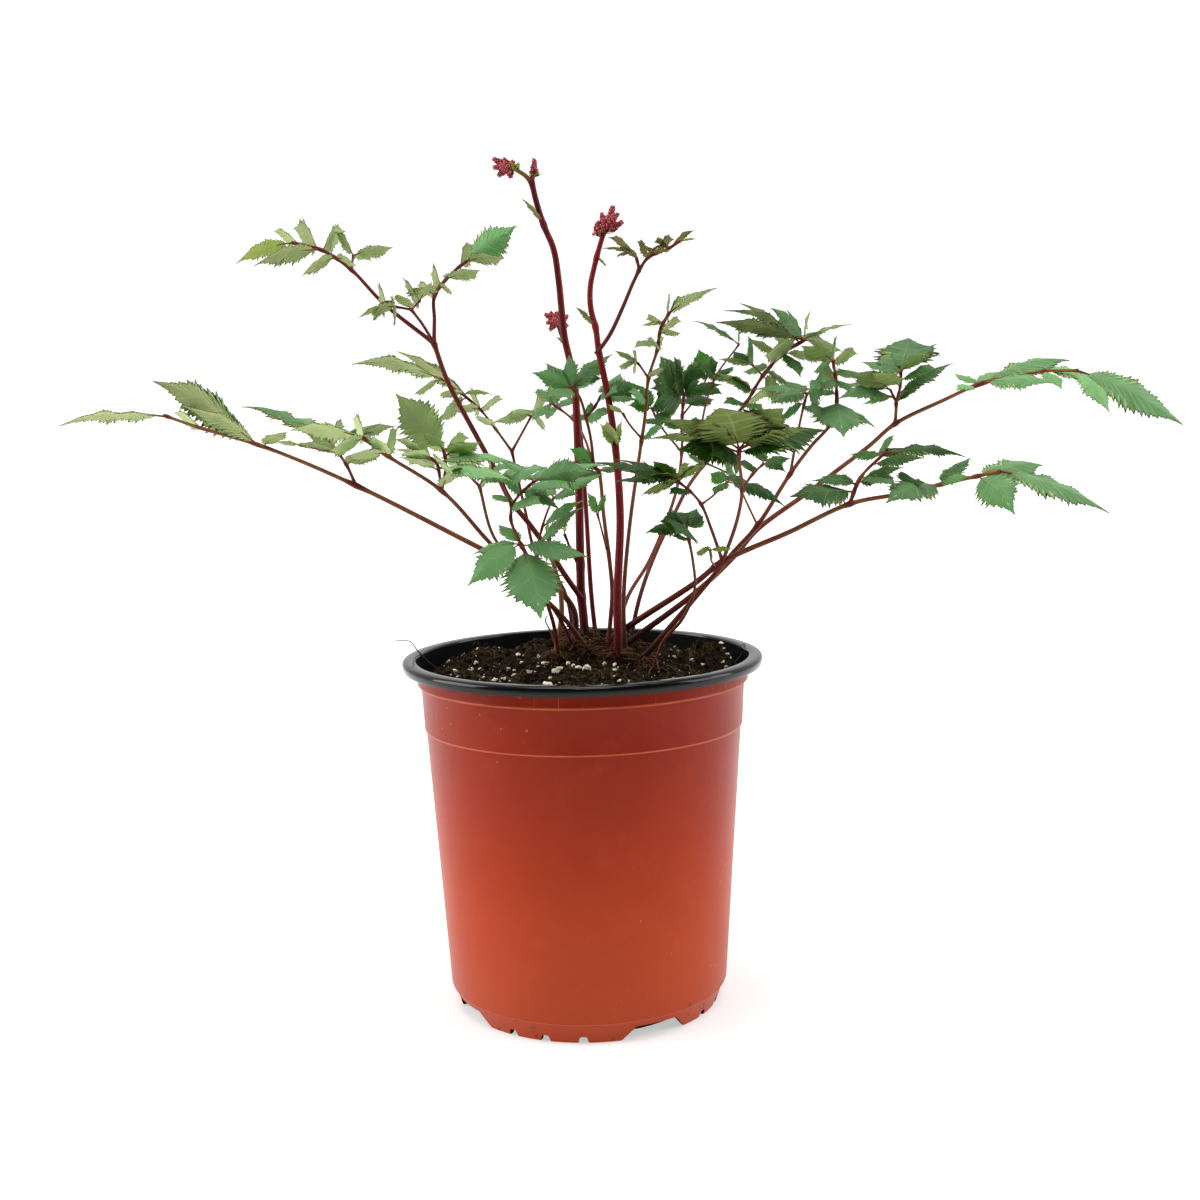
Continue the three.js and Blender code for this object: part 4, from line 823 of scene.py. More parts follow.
        [0, 4.95, 126, 26, 14, 0.4, 0], [0, 5.55, 38, 10, 17, 0.4, 20], [0, 10, -71, 12, 19, 0.45, 0],
        [2, 1, 126, 28, 17, 0.55, -10], [1, 2, -124, 27, 16, 0.5, -70], [1, 2, 47, 22, 18, 0.45, 5],
    ]},
    "frond_back": {"reds": (0.85, 0.55), "pale": 0.0, "bronze": 0.05, "stalks": [
        [[1.1, 0.7], [13, 15, 154], [22, 34, 182], [34, 50, 199], [48, 66, 230], [52, 76, 250],
         [53, 84, 268], [54, 84, 278]],
        [[0.5, 0.45], [53, 84, 268], [63, 92, 280], [67, 92, 289]],
        [[0.6, 0.45], [52, 76, 250], [41, 72, 264], [37, 70, 272]],
    ], "leaflets": [
        [0, 6, 152, 60, 26, 0.6, -45], [0, 6, -108, 46, 27, 0.7, -85], [0, 6, -49, 56, 23, 0.56, 80],
        [1, 1.85, -179, 74, 15, 0.75, -75], [1, 1.85, 0, -5, 14, 0.45, 40], [0, 6, -150, 16, 21, 0.56, -50],
        [0, 5.55, 38, 8, 22, 0.56, 25], [2, 2, 131, 57, 15, 0.56, -30], [2, 2, -140, 10, 16, 0.45, -80],
        [2, 1.6, -66, -7, 19, 0.5, 50], [0, 5.6, -124, 25, 32, 0.85, -85], [0, 6, -63, 26, 17, 0.6, 75],
        [0, 5.55, 122, 12, 17, 0.55, -20], [2, 2, -65, 22, 17, 0.55, 70], [0, 6, -23, 15, 21, 0.5, 40],
        [1, 1, -50, -2, 16, 0.5, 35], [0, 4.6, -51, 21, 16, 0.5, 55], [0, 4.6, 127, 17, 16, 0.5, -15],
        [2, 1, 124, 13, 15, 0.5, -15], [1, 1.85, -72, 28, 17, 0.6, 85], [1, 1.85, -128, 18, 16, 0.55, -60],
    ]},
    "frond_small": {"reds": (0.85, 0.55), "pale": 0.0, "bronze": 0.05, "stalks": [
        [[0.8, 0.6], [28, -25, 149], [36, -28, 171], [44, -32, 181], [49, -40, 195], [48, -46, 208],
         [45, -50, 223]],
    ], "leaflets": [
        [0, 5, -167, -2, 18, 0.5, -30], [0, 5, 105, 23, 16, 0.8, -10], [0, 5, -105, 0, 21, 0.8, -40],
        [0, 5, 34, 12, 11, 0.56, 25], [0, 5, 71, 19, 20, 0.45, 10], [0, 5, -139, 15, 16, 0.7, -70],
        [0, 5, -77, 48, 9, 0.6, 85], [0, 5, 50, 19, 14, 0.5, 5], [0, 4.65, -137, 12, 11, 0.4, -40],
    ]},
    "stem_tall": {"reds": (1.0, 1.0), "pale": 0.68, "bronze": 0.25, "crimson": 0.15, "lightest": 1.0,
                  "stalks": [
        [[2.2, 1.3], [2, 12, 155], [1, 12, 175], [0, 12, 189], [0, 12, 204], [0, 13, 254], [-1, 13, 286],
         [-3, 13, 296], [-5, 13, 306], [-7, 12, 331], [-9, 11, 345], [-13, 10, 355], [-16, 9, 365],
         [-18, 8, 374]],
        [[1.1, 1], [-18, 8, 374], [-21, 7, 377], [-26, 6, 380]],
        [[0.9, 0.9], [-18, 8, 374], [-17, 8, 378]],
        [[1.4, 1.1], [0, 11, 186], [-7, 6, 197], [-13, 4, 207], [-23, 0, 222], [-31, -4, 233],
         [-37, -6, 246], [-45, -8, 262], [-57, -12, 287], [-62, -14, 303]],
        [[1, 0.6], [-62, -14, 303], [-84, -10, 321], [-98, -6, 336], [-111, -2, 345], [-125, 2, 349]],
        [[0.6, 0.5], [-98, -6, 336], [-98, 2, 343]],
        [[0.7, 0.6], [-62, -14, 303], [-66, -22, 311], [-70, -28, 317]],
        [[0.5, 0.45], [-70, -28, 317], [-81, -32, 319]],
        [[0.5, 0.45], [-70, -28, 317], [-67, -20, 321]],
        [[0.9, 0.6], [-62, -14, 303], [-62, -8, 314], [-62, -4, 324], [-54, 4, 335], [-48, 8, 340]],
        [[0.6, 0.6], [-1, 12, 201], [-4, 10, 208], [-7, 8, 216]],
    ], "leaflets": [
        [4, 4, -161, -17, 26, 0.44, 35], [4, 3.15, 128, 28, 25, 0.6, 70], [4, 3, 66, 30, 23, 0.56, -65],
        [4, 3.1, -141, -12, 33, 0.42, 35], [4, 2.55, -118, -19, 26, 0.38, 45], [5, 1, 138, 45, 17, 0.5, 65],
        [5, 1, -18, 9, 20, 0.45, -30], [7, 1, -160, -26, 13, 0.45, 25], [7, 0.95, 105, 14, 21, 0.62, 85],
        [7, 0.7, -81, -16, 20, 0.56, -85], [8, 1, 115, 22, 21, 0.62, 65], [9, 4, -14, 32, 28, 0.54, 80],
        [9, 3.5, 65, 42, 18, 0.6, -85], [9, 4, -45, -1, 25, 0.42, -25], [9, 2.4, 109, 24, 20, 0.56, 85],
        [9, 2.65, -46, 6, 24, 0.39, -20], [9, 2.05, -115, 5, 23, 0.56, 10],
        [0, 10.05, -141, 44, 18, 0.24, -5], [10, 2, 0, 87, 8, 0.45, -30], [4, 3.75, 141, 24, 19, 0.5, 50],
        [7, 0.55, -123, -7, 19, 0.5, 35], [6, 2, -112, 27, 15, 0.55, -10], [7, 1, -104, -26, 16, 0.34, 70],
        [8, 1, -57, 33, 14, 0.5, 15], [9, 2.1, 126, 18, 17, 0.5, 55], [9, 2.65, 72, 13, 20, 0.45, 10],
        [9, 2.35, -66, -11, 16, 0.4, -50], [5, 1, 69, 0, 17, 0.4, -20], [4, 2.55, -55, -14, 20, 0.34, -45],
        [7, 0.7, -108, 4, 14, 0.5, 20],
    ]},
    "stem_right": {"reds": (1.0, 1.0), "pale": 0.15, "bronze": 1.3, "crimson": 0.6, "bractsTo": 290,
                   "stalks": [
        [[2.1, 1.1], [15, -21, 151], [16, -21, 175], [16, -21, 189], [18, -20, 224], [17, -18, 251],
         [14, -16, 277], [10, -16, 299], [9, -15, 308], [7, -14, 317], [7, -13, 326], [9, -12, 335],
         [11, -12, 342], [13, -12, 348], [14, -12, 350]],
        [[1, 0.8], [9, -16, 297], [15, -20, 305], [21, -24, 317], [25, -26, 326], [28, -27, 332]],
        [[0.6, 0.5], [28, -27, 332], [27, -28, 336], [26, -28, 339]],
        [[0.7, 0.5], [28, -27, 332], [32, -29, 337], [40, -31, 340], [45, -32, 343]],
    ], "leaflets": [
        [2, 2, -152, 5, 17, 0.22, 15], [2, 2, 137, 29, 17, 0.42, 45], [2, 2, -117, -6, 18, 0.3, 25],
        [3, 3, -15, 8, 8, 0.26, -20], [3, 2.2, 40, 31, 17, 0.3, -50], [3, 1.35, 59, 24, 20, 0.4, -60],
        [3, 1.35, -68, 1, 15, 0.32, -10], [3, 1, 116, 38, 13, 0.55, 75], [0, 7.1, 162, 44, 13, 0.38, 40],
        [0, 10.55, -54, -31, 9, 0.34, -55], [0, 4.2, -160, 57, 13, 0.5, -55],
        [0, 4.2, -111, 48, 17, 0.5, -25], [0, 4.2, -65, 59, 14, 0.5, 85], [3, 1.35, -128, 18, 11, 0.36, 0],
        [3, 2.2, 119, 19, 14, 0.4, 50], [2, 1, -124, 24, 16, 0.36, -10], [3, 1, -68, 22, 13, 0.36, 20],
    ]},
    "stem_short": {"reds": (1.0, 1.0), "pale": 0.3, "bronze": 0.05, "crimson": 0.3, "stalks": [
        [[1.2, 1], [8, 22, 153], [5, 25, 183], [3, 32, 230], [0, 38, 277], [-5, 40, 303], [-7, 40, 309]],
    ], "leaflets": [
        [0, 4, -138, 35, 7, 0.45, -55],
    ]},
    "young_shoot": {"reds": (0.4, 0.3), "pale": 0.6, "bronze": 0.2, "stalks": [
        [[1.6, 0.8], [-14, -3, 152], [-9, -5, 182], [-10, -5, 195], [-13, -6, 207], [-14, -7, 216],
         [-15, -7, 221]],
    ], "leaflets": [
        [0, 4, -115, 76, 9, 0.45, -85],
    ]},
}

frondLook = {
    "steps": (8, 5),              # curve steps between points, on long and on short stalks
    "longFrom": 40,
    "swelling": (0.5, 0.22),      # share by which a stalk and a flower stem thicken at a fork
    "swellingReach": 1.7,
    "thickSides": 12,
    "thinSides": 8,
    # redness at foot and tip: side stalks, those on a stem, and the olive twig that carries the tall head
    "sideRed": (0.7, 0.55),
    "stemSideRed": (1.0, 0.8),
    "twigRed": (0.5, 0.25),
    "twigAbove": 340,
    "bronzeRange": (0.4, 1.6),
    "smallUnder": 16,             # leaflets under this length are redder by so much
    "smallFlush": 0.12,
    "litOutwards": (60, 210),    # leaves are painted lighter between these distances from the pot's axis, painted shade on the crowded centre
    "paler": 0.85,
    "paleRange": (-0.16, 0.18),
    # on a flower stem, leaves under this length or above this height are bracts
    "bractUnder": 11,
    "bractsFrom": 350,
    "redBractsFrom": 290,
    "bractTones": ((0.4, 0.92), (0.9, 0.7)),
    "lightest": 0.86,
    # count, length, thickness, brownness of the hairs, and the stretch of the stalk that they cover
    "stemHairs": (420, 0.9, 0.035, 0.1, 0.0, 1.0),
    "footHairs": (60, 1.1, 0.04, 0.9, 0.0, 0.3),
    "shootHairs": (300, 1.1, 0.04, 0.9, 0.0, 0.3),
    "upperHairs": (40, 0.7, 0.03, 0.8, 0.3, 1.0),
    "sideHairs": (8, 0.6, 0.03, 0.7, 0.0, 1.0),
    "stalkletShares": (0.0, 0.04, 0.09, 0.16, 0.26),
}


def stalkLine(stalk, forks, steps, look, swelling, reds, light):
    (foot, tip), points = stalk[0], stalk[1:]
    fine = curvePoints(points, steps)
    lengths = [0.0]
    for a, b in zip(fine, fine[1:]):
        lengths.append(lengths[-1] + (b - a).length)
    line = []
    for point, at in zip(fine, lengths):
        share = at / lengths[-1]
        near = max(math.exp(-((point - fork).length / look["swellingReach"]) ** 2) for fork in forks)
        if share < 0.02:
            near *= 0.5
        radius = (foot + (tip - foot) * share) * (1 + swelling * near)
        red = reds[0] + (reds[1] - reds[0]) * share + 0.45 * near
        line.append((point, radius, (min(red, 1.0), light, share)))
    return line


def copiesOf(name, template, places, materials, toneAt=None):
    # places: (point, direction, width, height, turn, tone); the template stands on z with its foot at 0
    source = template.data
    base = np.empty(len(source.vertices) * 3)
    source.vertices.foreach_get("co", base)
    base = base.reshape(-1, 3)
    top = base[:, 2].max()
    faces = [tuple(face.vertices) for face in source.polygons]
    points, allFaces, tones = [], [], []
    for i, (point, direction, width, height, turn, tone) in enumerate(places):
        aim = Vector(direction).to_track_quat("Z", "Y") @ Quaternion((0, 0, 1), turn)
        moved = (base * (width, width, height)) @ np.array(aim.to_matrix()).T + np.array(point)
        points.append(moved * mm)
        allFaces += [tuple(v + i * len(base) for v in face) for face in faces]
        tones += [toneAt(z / top, tone) if toneAt else tone for z in base[:, 2]]
    return meshPiece(name, np.concatenate(points), allFaces, materials, source.polygons[0].material_index,
                     tones)


def makeHair():
    deselectAll()
    bpy.ops.mesh.primitive_cone_add(vertices=3, radius1=1, radius2=0.15, depth=1, location=(0, 0, 0.5))
    bpy.ops.object.transform_apply()
    hair = bpy.context.object
    hair.name = "hairTemplate"
    giveMaterials(hair.data, plantMaterials, hairSlot)
    return hair


def hairsAlong(line, chance, settings):
    count, length, thickness, brown, start, end = settings
    places = []
    for _ in range(count):
        at = (start + (end - start) * chance.random()) * (len(line) - 1)
        (a, radius, _), (b, _, _), share = between(line, at)
        axis = (b - a).normalized()
        side = axis.orthogonal().normalized()
        side.rotate(Matrix.Rotation(chance.uniform(0, fullTurn), 3, axis))
        direction = side + axis * chance.uniform(-0.3, 0.6)
        places.append((a.lerp(b, share) + side * radius * 0.9, direction,
                       thickness * chance.uniform(0.7, 1.3), length * chance.uniform(0.5, 1.4),
                       chance.uniform(0, 6),
                       (brown * chance.uniform(0.7, 1.0), chance.random(), chance.random())))
    return places


def leafTone(plant, foot, long, look, chance):
    flush = look["smallFlush"] if long < look["smallUnder"] else 0.0
    red = min(1.0, plant["bronze"] * chance.uniform(*look["bronzeRange"]) + flush)
    # painted light and shade: leaves are lit more the further they stand from the pot's axis, painted shade
    # on the crowded centre
    near, far = look["litOutwards"]
    reach = min(1.0, max(0.0, (math.hypot(foot.x, foot.y) - near) / (far - near)))
    light = plant["pale"] + look["paler"] * reach ** 2 + chance.uniform(*look["paleRange"])
    bract = long < look["bractUnder"] or foot.z > look["bractsFrom"] or foot.z < plant.get("bractsTo", 0)
    if "crimson" in plant and bract:
        red, light = look["bractTones"][foot.z >= look["redBractsFrom"]]
    else:
        light = min(light, plant.get("lightest", look["lightest"]))
    return red, min(1.0, max(0.0, light)), chance.random()


def stalkletLine(foot, heading, rise, long, roll, look):
    along, up, _ = leafletAxes(heading, rise, roll)
    lift = bladeLook["arch"] * long
    return [(foot + along * (share * long) + up * (lift * math.sin(math.pi * share) - 0.12),
             0.42 + 0.12 * (long > 30) - 1.1 * share, (0.75 - 1.8 * share, 0.3, 1.0))
            for share in look["stalkletShares"]]


def makeFrond(name, plant, seed, look=frondLook):
    chance = random.Random(seed)
    stem = "crimson" in plant
    stalks, leaflets = plant["stalks"], plant["leaflets"]
    feet = [spot(stalks[leaflet[0]][1:], leaflet[1]) for leaflet in leaflets]
    forks = [Vector(stalk[1]) for stalk in stalks] + feet      # where something leaves a stalk
    thick, thin, hairs = [], [], []
    for index, stalk in enumerate(stalks):
        length = sum((Vector(b) - Vector(a)).length for a, b in zip(stalk[1:], stalk[2:]))
        steps = look["steps"][length <= look["longFrom"]]
        main = stem and index == 0
        if index == 0:
            reds = plant["reds"]
        elif stem:
            reds = look["twigRed"] if stalk[1][2] > look["twigAbove"] else look["stemSideRed"]
        else:
            reds = look["sideRed"]
        light = plant["crimson"] if main else chance.uniform(0.0, 0.4)
        line = stalkLine(stalk, forks, steps, look, look["swelling"][main], reds, light)
        if index:      # only the main stalk has a dark foot
            line = [(point, radius, (*tone[:2], 1.0)) for point, radius, tone in line]
        (thick if main else thin).append(line)
        if main:
            hairs += hairsAlong(line, chance, look["stemHairs"])
        elif index == 0:
            hairs += hairsAlong(line, chance, look["shootHairs" if name == "young_shoot" else "footHairs"])
            hairs += hairsAlong(line, chance, look["upperHairs"])
        else:
            hairs += hairsAlong(line, chance, look["sideHairs"])
    pieces = []
    for foot, (_, _, heading, rise, long, width, roll) in zip(feet, leaflets):
        tone = leafTone(plant, foot, long, look, chance)
        pieces.append(placeLeaflet(name + "_leaf", foot, (heading, rise, long, width, roll), tone, chance))
        thin.append(stalkletLine(foot, heading, rise, long, roll, look))
    pieces.append(tubes(name + "_thin", thin, look["thinSides"], stalkSlot, plantMaterials))
    if thick:
        pieces.append(tubes(name + "_thick", thick, look["thickSides"], stemSlot, plantMaterials))
    pieces.append(copiesOf(name + "_hairs", hairTemplate, hairs, plantMaterials))
    frond = joinInto(pieces[0], pieces[1:])
    frond.name = name + "_grown"
    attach(frond, "root")
    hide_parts(name)


hairTemplate = makeHair()
for seed, (name, plant) in enumerate(fronds.items()):
    makeFrond(name, plant, seed + 1)
print("fronds grown")


# flower heads: each head is a list of spikes of buds, foot, tip and radius

flowerHeads = {
    "flower_head_tall": [
        [[-29.8, 6, 381.4], [-35.4, 4, 384.4], 1.7], [[-29.5, 5, 380.4], [-35.4, 3, 380], 1.7],
        [[-29.1, 6, 380.1], [-33, 4, 375.9], 1.7], [[-28.5, 8, 381], [-30.4, 8, 384.9], 2.1],
        [[-27.9, 8, 380], [-27.2, 9, 375.9], 1.6], [[-27.5, 9, 381], [-26, 13, 384.4], 1.6],
        [[-29, 4, 380.3], [-31.5, -1, 380], 1.9], [[-29.2, 9, 381.6], [-33.2, 10, 384.6], 1.6],
        [[-26.6, 6, 379.3], [-31.5, 6, 381.2], 2.8],
    ],
    "flower_spike_tall": [[[-16.9, 8, 377.4], [-16.4, 8, 385.2], 1.5]],
    "flower_head_right": [
        [[14.6, -12, 350], [18.3, -12, 362.8], 2.7], [[14, -11, 351], [12.2, -10, 359.2], 1.7],
        [[10.4, -12, 347.8], [10.8, -12, 355.2], 1.7], [[15.5, -13, 349.9], [22.7, -14, 354.3], 1.7],
        [[15.2, -14, 351], [18.6, -17, 357.6], 1.8], [[14.9, -10, 350.6], [15.4, -6, 358], 1.8],
        [[15.5, -12, 352], [20.6, -11, 358.5], 1.6], [[14.5, -13, 350], [13.6, -16, 355.5], 1.7],
    ],
    "flower_head_short": [
        [[-8, 38, 313.9], [-15.2, 37, 318], 1.8], [[-8.4, 38, 314.2], [-12, 38, 318.8], 1.7],
        [[-8.4, 38, 314.2], [-8.6, 37, 318.8], 1.7], [[-8.4, 38, 313.7], [-12.5, 37, 309.8], 1.7],
        [[-8.4, 38, 313.7], [-14, 36, 313.5], 1.9], [[-7.1, 42, 314.4], [-3, 44, 317.2], 1.8],
        [[-7.1, 42, 313.9], [-3.2, 44, 311.4], 1.8], [[-8.9, 36, 314.1], [-9.8, 31.5, 314.4], 1.9],
        [[-7.6, 40, 311.8], [-8, 40.4, 318.4], 2.0],
    ],
}
necks = {"flower_head_short": (-7, 40, 308.6)}      # where all the spikes of a head set out from
headLook = {
    "budWidth": 0.8,
    "budHeight": 1.7,
    "budArea": 1.3,            # of the spike's surface, for each bud
    "fewestBuds": 7,
    "goldenAngle": 2.39996,
    "coreTone": (0.9, 0.3, 1),
    "core": ((0.0, 0.6), (0.3, 0.5), (0.8, 0.3)),      # share of the spike and radius there
    "neckRadius": 0.9,
    "bracts": 7,
    "bractTone": (0.8, 0.4, 0.5),
}


def makeBud():
    deselectAll()
    bpy.ops.mesh.primitive_uv_sphere_add(segments=7, ring_count=6, radius=1, location=(0, 0, 0))
    bud = bpy.context.object
    bud.name = "budTemplate"
    for vertex in bud.data.vertices:
        z = (vertex.co.z + 1) / 2
        taper = 1.0 - 0.35 * z ** 3
        vertex.co = (vertex.co.x * taper, vertex.co.y * taper, z)
    giveMaterials(bud.data, plantMaterials, budSlot)
    return bud


def budTone(height, tone):
    return min(1.0, tone[0] + height * 1.1), tone[1], tone[2]


def budsOn(foot, tip, radius, look, chance):
    places = []
    span = tip - foot
    axis, side = span.normalized(), span.orthogonal().normalized()
    count = max(look["fewestBuds"], round(math.pi * radius * span.length / look["budArea"]))
    for i in range(count):
        share = ((i + 0.5) / count) ** 0.9 * 0.92
        out = side.copy()
        out.rotate(Matrix.Rotation(i * look["goldenAngle"] + chance.uniform(-0.3, 0.3), 3, axis))
        reach = radius * (1 - share) ** 0.8 * 0.72
        size = (1.0 - 0.3 * share) * chance.uniform(0.8, 1.12)
        places.append((foot + span * share * 0.86 + out * reach * 0.75, out + axis * (0.55 + share),
                       look["budWidth"] * size, look["budHeight"] * size, chance.uniform(0, 6),
                       (0.15 + 0.5 * share, chance.random(), chance.random())))
    return places


def makeHead(name, spikes, seed, look=headLook):
    chance = random.Random(seed)
    spikes = [(Vector(foot), Vector(tip), radius) for foot, tip, radius in spikes]
    places, stalks = [], []
    for foot, tip, radius in spikes:
        places += budsOn(foot, tip, radius, look, chance)
        line = [(foot + (tip - foot) * share, wide, look["coreTone"]) for share, wide in look["core"]]
        if name in necks:
            line.insert(0, (Vector(necks[name]), look["neckRadius"], look["coreTone"]))
        stalks.append(line)
    pieces = [copiesOf(name + "_buds", budTemplate, places, plantMaterials, budTone),
              tubes(name + "_core", stalks, 8, stemSlot, plantMaterials)]
    foot, tip, _ = spikes[-1] if name == "flower_head_tall" else spikes[0]
    axis = (tip - foot).normalized()
    for i in range(look["bracts"]):
        out = axis.orthogonal().normalized()
        out.rotate(Matrix.Rotation(i * 1.3 + chance.random(), 3, axis))
        heading = math.degrees(math.atan2(out.y, out.x))
        shape = (heading, chance.uniform(5, 45), chance.uniform(3.5, 6), 0.45, 0)
        pieces.append(placeLeaflet(name + "_bract", foot - axis * 1.5, shape, look["bractTone"], chance))
    head = joinInto(pieces[0], pieces[1:])
    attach(head, "root")
    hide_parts(name)


budTemplate = makeBud()
for seed, (name, spikes) in enumerate(flowerHeads.items()):
    makeHead(name, spikes, 50 + seed)
removePieces(budTemplate, hairTemplate, *blades.values())
print("flower heads done")


# pot

potFinish = {
    "clay": (0.388, 0.036, 0.005, 1),
    "clayDeep": (0.190, 0.007, 0.001, 1),
    "clayPale": (0.620, 0.170, 0.080, 1),
    "dirt": (0.045, 0.016, 0.010, 1),
    "gloss": (0.34, 0.12),
    "cloud": (14.0, 5.0, 0.65),
    "streaks": (60.0, 4.0, 0.6, 0.15),
    "fine": (420.0, 3.0, 0.6),
    "paintedShade": (0.045, 0.148),      # heights between which the clay is painted deeper in colour, painted shade of the plant on the upper pot
    # the clay is paler towards the foot, up to this height
    "paleFootTo": 0.085,
    "rings": ((0.1508, 0.00075), (0.1303, 0.0005), (0.0096, 0.0003)),      # height and half width of painted highlight lines along the beads and the foot's step
    "ribs": 46,                  # low ribs under the lip: a bump, with painted highlights along them
    "ribWidth": 0.022,
    "ribsFrom": 0.1512,
    "ribHighlightPatches": (30.0,),
    "dust": (0.05, 70.0, 0.1),
    "specks": 160.0,
    "grime": (150.0, 5.0, 0.7),
    "grimeTo": 0.016,
    "relief": (0.25, 0.35),
}
lipFinish = {
    "black": (0.003, 0.0033, 0.0036, 1),
    "grey": (0.10, 0.10, 0.095, 1),
    "potBlack": (0.07, 0.26),      # roughness and specular
    "potInside": (0.7, 0.02),
    "dust": (0.02, 90.0, 0.1),
    "fine": (500.0, 3.0, 0.6),
    "relief": (0.2, 0.15),
}


def terracottaMaterial(c):
    material, tree, shader = newMaterial("potTerracotta", *c["gloss"])
    place = objectPlace(tree)
    x, y, height = partsOf(place)
    cloud, streaks, fine = noises(tree, c, "cloud", "streaks", "fine")
    ribHighlightPatches, grime = noises(tree, c, "ribHighlightPatches", "grime")
    # painted shade: the clay turns deeper in colour up the pot, under the plant
    paintedShade = times(ramp(height, *c["paintedShade"]), 0.8)
    colour = layered(c["clayDeep"], (less(plus(times(cloud, 0.6), 0.6), paintedShade, clamp=True), c["clay"]),
                     (times(streaks, 0.2), c["clay"]), (times(fine, 0.03), c["clayPale"]),
                     (times(less(1.0, ramp(height, 0.0, c["paleFootTo"])), 0.14), c["clayPale"]))
    # painted highlights: pale lines along the beads and the foot's step
    for ring, wide in c["rings"]:
        line = closeTo(maths("ABSOLUTE", less(height, ring)), wide)
        line = times(line, plus(0.35, streaks), clamp=True)
        colour = mixed(times(line, 0.75), colour, c["clayPale"])
    turn = times(maths("ARCTAN2", y, x), c["ribs"] / fullTurn)
    rib = closeTo(maths("ABSOLUTE", less(maths("FRACT", turn), 0.5)), c["ribWidth"])
    rib = times(rib, maths("GREATER_THAN", height, c["ribsFrom"]))
    dust, = useGroup(tree, dustGroup, *c["dust"])
    cells = addNode(tree, "ShaderNodeTexVoronoi", {"Vector": place, "Scale": c["specks"]})
    specks = times(maths("LESS_THAN", cells.outputs["Distance"], 0.10), ramp(cloud, 0.52, 0.62))
    grime = times(ramp(grime, 0.60, 0.68), closeTo(height, c["grimeTo"]))
    # painted highlights along the ribs, in patches; then dust, specks and grime
    feed(shader, "Base Color", layered(
        colour, (times(times(rib, ramp(ribHighlightPatches, 0.45, 0.65)), 0.7), c["clayPale"]), (dust, c["clayPale"]),
        (times(specks, 0.5), c["clayPale"]), (times(grime, 1.6, clamp=True), c["dirt"])))
    feed(shader, "Roughness", plus(plus(0.30, times(cloud, 0.14)), times(dust, 0.5)))
    bump(shader, plus(plus(times(fine, 0.25), cloud), times(rib, 0.5)), *c["relief"])
    return material


def blackPlasticMaterial(name, c):
    material, tree, shader = newMaterial(name, *c[name])
    dust, = useGroup(tree, dustGroup, *c["dust"])
    fine, = noises(tree, c, "fine")
    feed(shader, "Base Color", mixed(dust, c["black"], c["grey"]))
    feed(shader, "Roughness", plus(plus(c[name][0], times(fine, 0.05)), dust))
    bump(shader, fine, *c["relief"])
    return material


potMaterials = [terracottaMaterial(potFinish), blackPlasticMaterial("potBlack", lipFinish),
                blackPlasticMaterial("potInside", lipFinish)]
claySlot, lipSlot, insideSlot = range(3)

potSettings = {
    "sides": 144,
    "profile": [
        (50.4, 0.0), (51.6, 9.0), (58.8, 9.0), (57.6, 0.3), (57.9, 0.0), (59.9, 0.0), (60.4, 0.3),
        (63.3, 8.9), (63.7, 9.3), (64.3, 9.6), (64.5, 10.2), (66.5, 39.9), (68.4, 69.6), (70.4, 99.4),
        (72.3, 128.6), (72.5, 129.5), (72.95, 129.9), (73.15, 130.3), (73.1, 130.9), (74.0, 149.2),
        (74.2, 149.8), (75.3, 150.3), (75.75, 150.8), (75.6, 151.4), (75.6, 156.6), (76.0, 156.8),
        (81.3, 156.8), (81.9, 157.0), (82.3, 157.6), (82.5, 158.6), (82.5, 159.6), (82.3, 160.5),
        (81.8, 161.1), (81.1, 161.4), (77.0, 161.4), (76.3, 161.15), (75.9, 160.5), (74.4, 151.5),
        (72.53, 149.8), (62.9, 11.3), (48.9, 11.3), (48.9, 1.8),
    ],
    "lipFrom": 156.7,
    "lipInnerFrom": 160,
    "innerReach": (40, 56.5),             # walls that face in beyond the first, and all within the second
    "underFloor": (8.5, 20),
    "smoothTo": 32,
    # openings: radius at the inner end, depth, width at the foot and at the top, low, high, rounding
    "drains": (51.8, 20, 34, 20, -1, 6.6, 0.5),
    "drainFloors": (51.8, 6, 16, 16, 8.05, 12.55, 0),
    "notches": (56.9, 8, 5.2, 3.0, -1, 3.2, 0.9),
    "drainAngles": [-62, 28, 118, 208],
    "notchSteps": [28, 43, 59],
}


def prismCutter(angle, size):
    # a block from the inside out, narrower at its top, turned round to its angle
    inner, depth, footWidth, topWidth, low, high, rounding = size
    deselectAll()
    bpy.ops.mesh.primitive_cube_add(size=1, location=((inner + depth / 2) * mm, 0, (low + high) / 2 * mm))
    block = bpy.context.object
    block.scale = (depth * mm, footWidth * mm, (high - low) * mm)
    bpy.ops.object.transform_apply()
    for vertex in block.data.vertices:
        if vertex.co.z > 0:
            vertex.co.y *= topWidth / footWidth
    if rounding:
        editMode(True)
        bpy.ops.mesh.bevel(offset=rounding * mm, segments=3)
        editMode(False)
    block.rotation_euler.z = math.radians(angle)
    bpy.ops.object.transform_apply()
    return block


def turnProfile(sides, profile):
    (radius, height), rest = profile[0], profile[1:]
    deselectAll()
    bpy.ops.mesh.primitive_circle_add(vertices=sides, radius=radius * mm, location=(0, 0, height * mm))
    bpy.ops.object.transform_apply()
    editMode(True)
    for nextRadius, nextHeight in rest:
        bpy.ops.mesh.extrude_region_move(TRANSFORM_OT_translate={"value": (0, 0, (nextHeight - height) * mm)})
        k = nextRadius / radius
        bpy.ops.transform.resize(value=(k, k, 1), center_override=(0, 0, nextHeight * mm))
        radius, height = nextRadius, nextHeight
    bpy.ops.mesh.edge_face_add()
    bpy.ops.mesh.select_all(action="DESELECT")
    bpy.ops.mesh.select_non_manifold()
    bpy.ops.mesh.edge_face_add()
    bpy.ops.mesh.select_all(action="SELECT")
    bpy.ops.mesh.normals_make_consistent(inside=False)
    editMode(False)
    return bpy.context.object


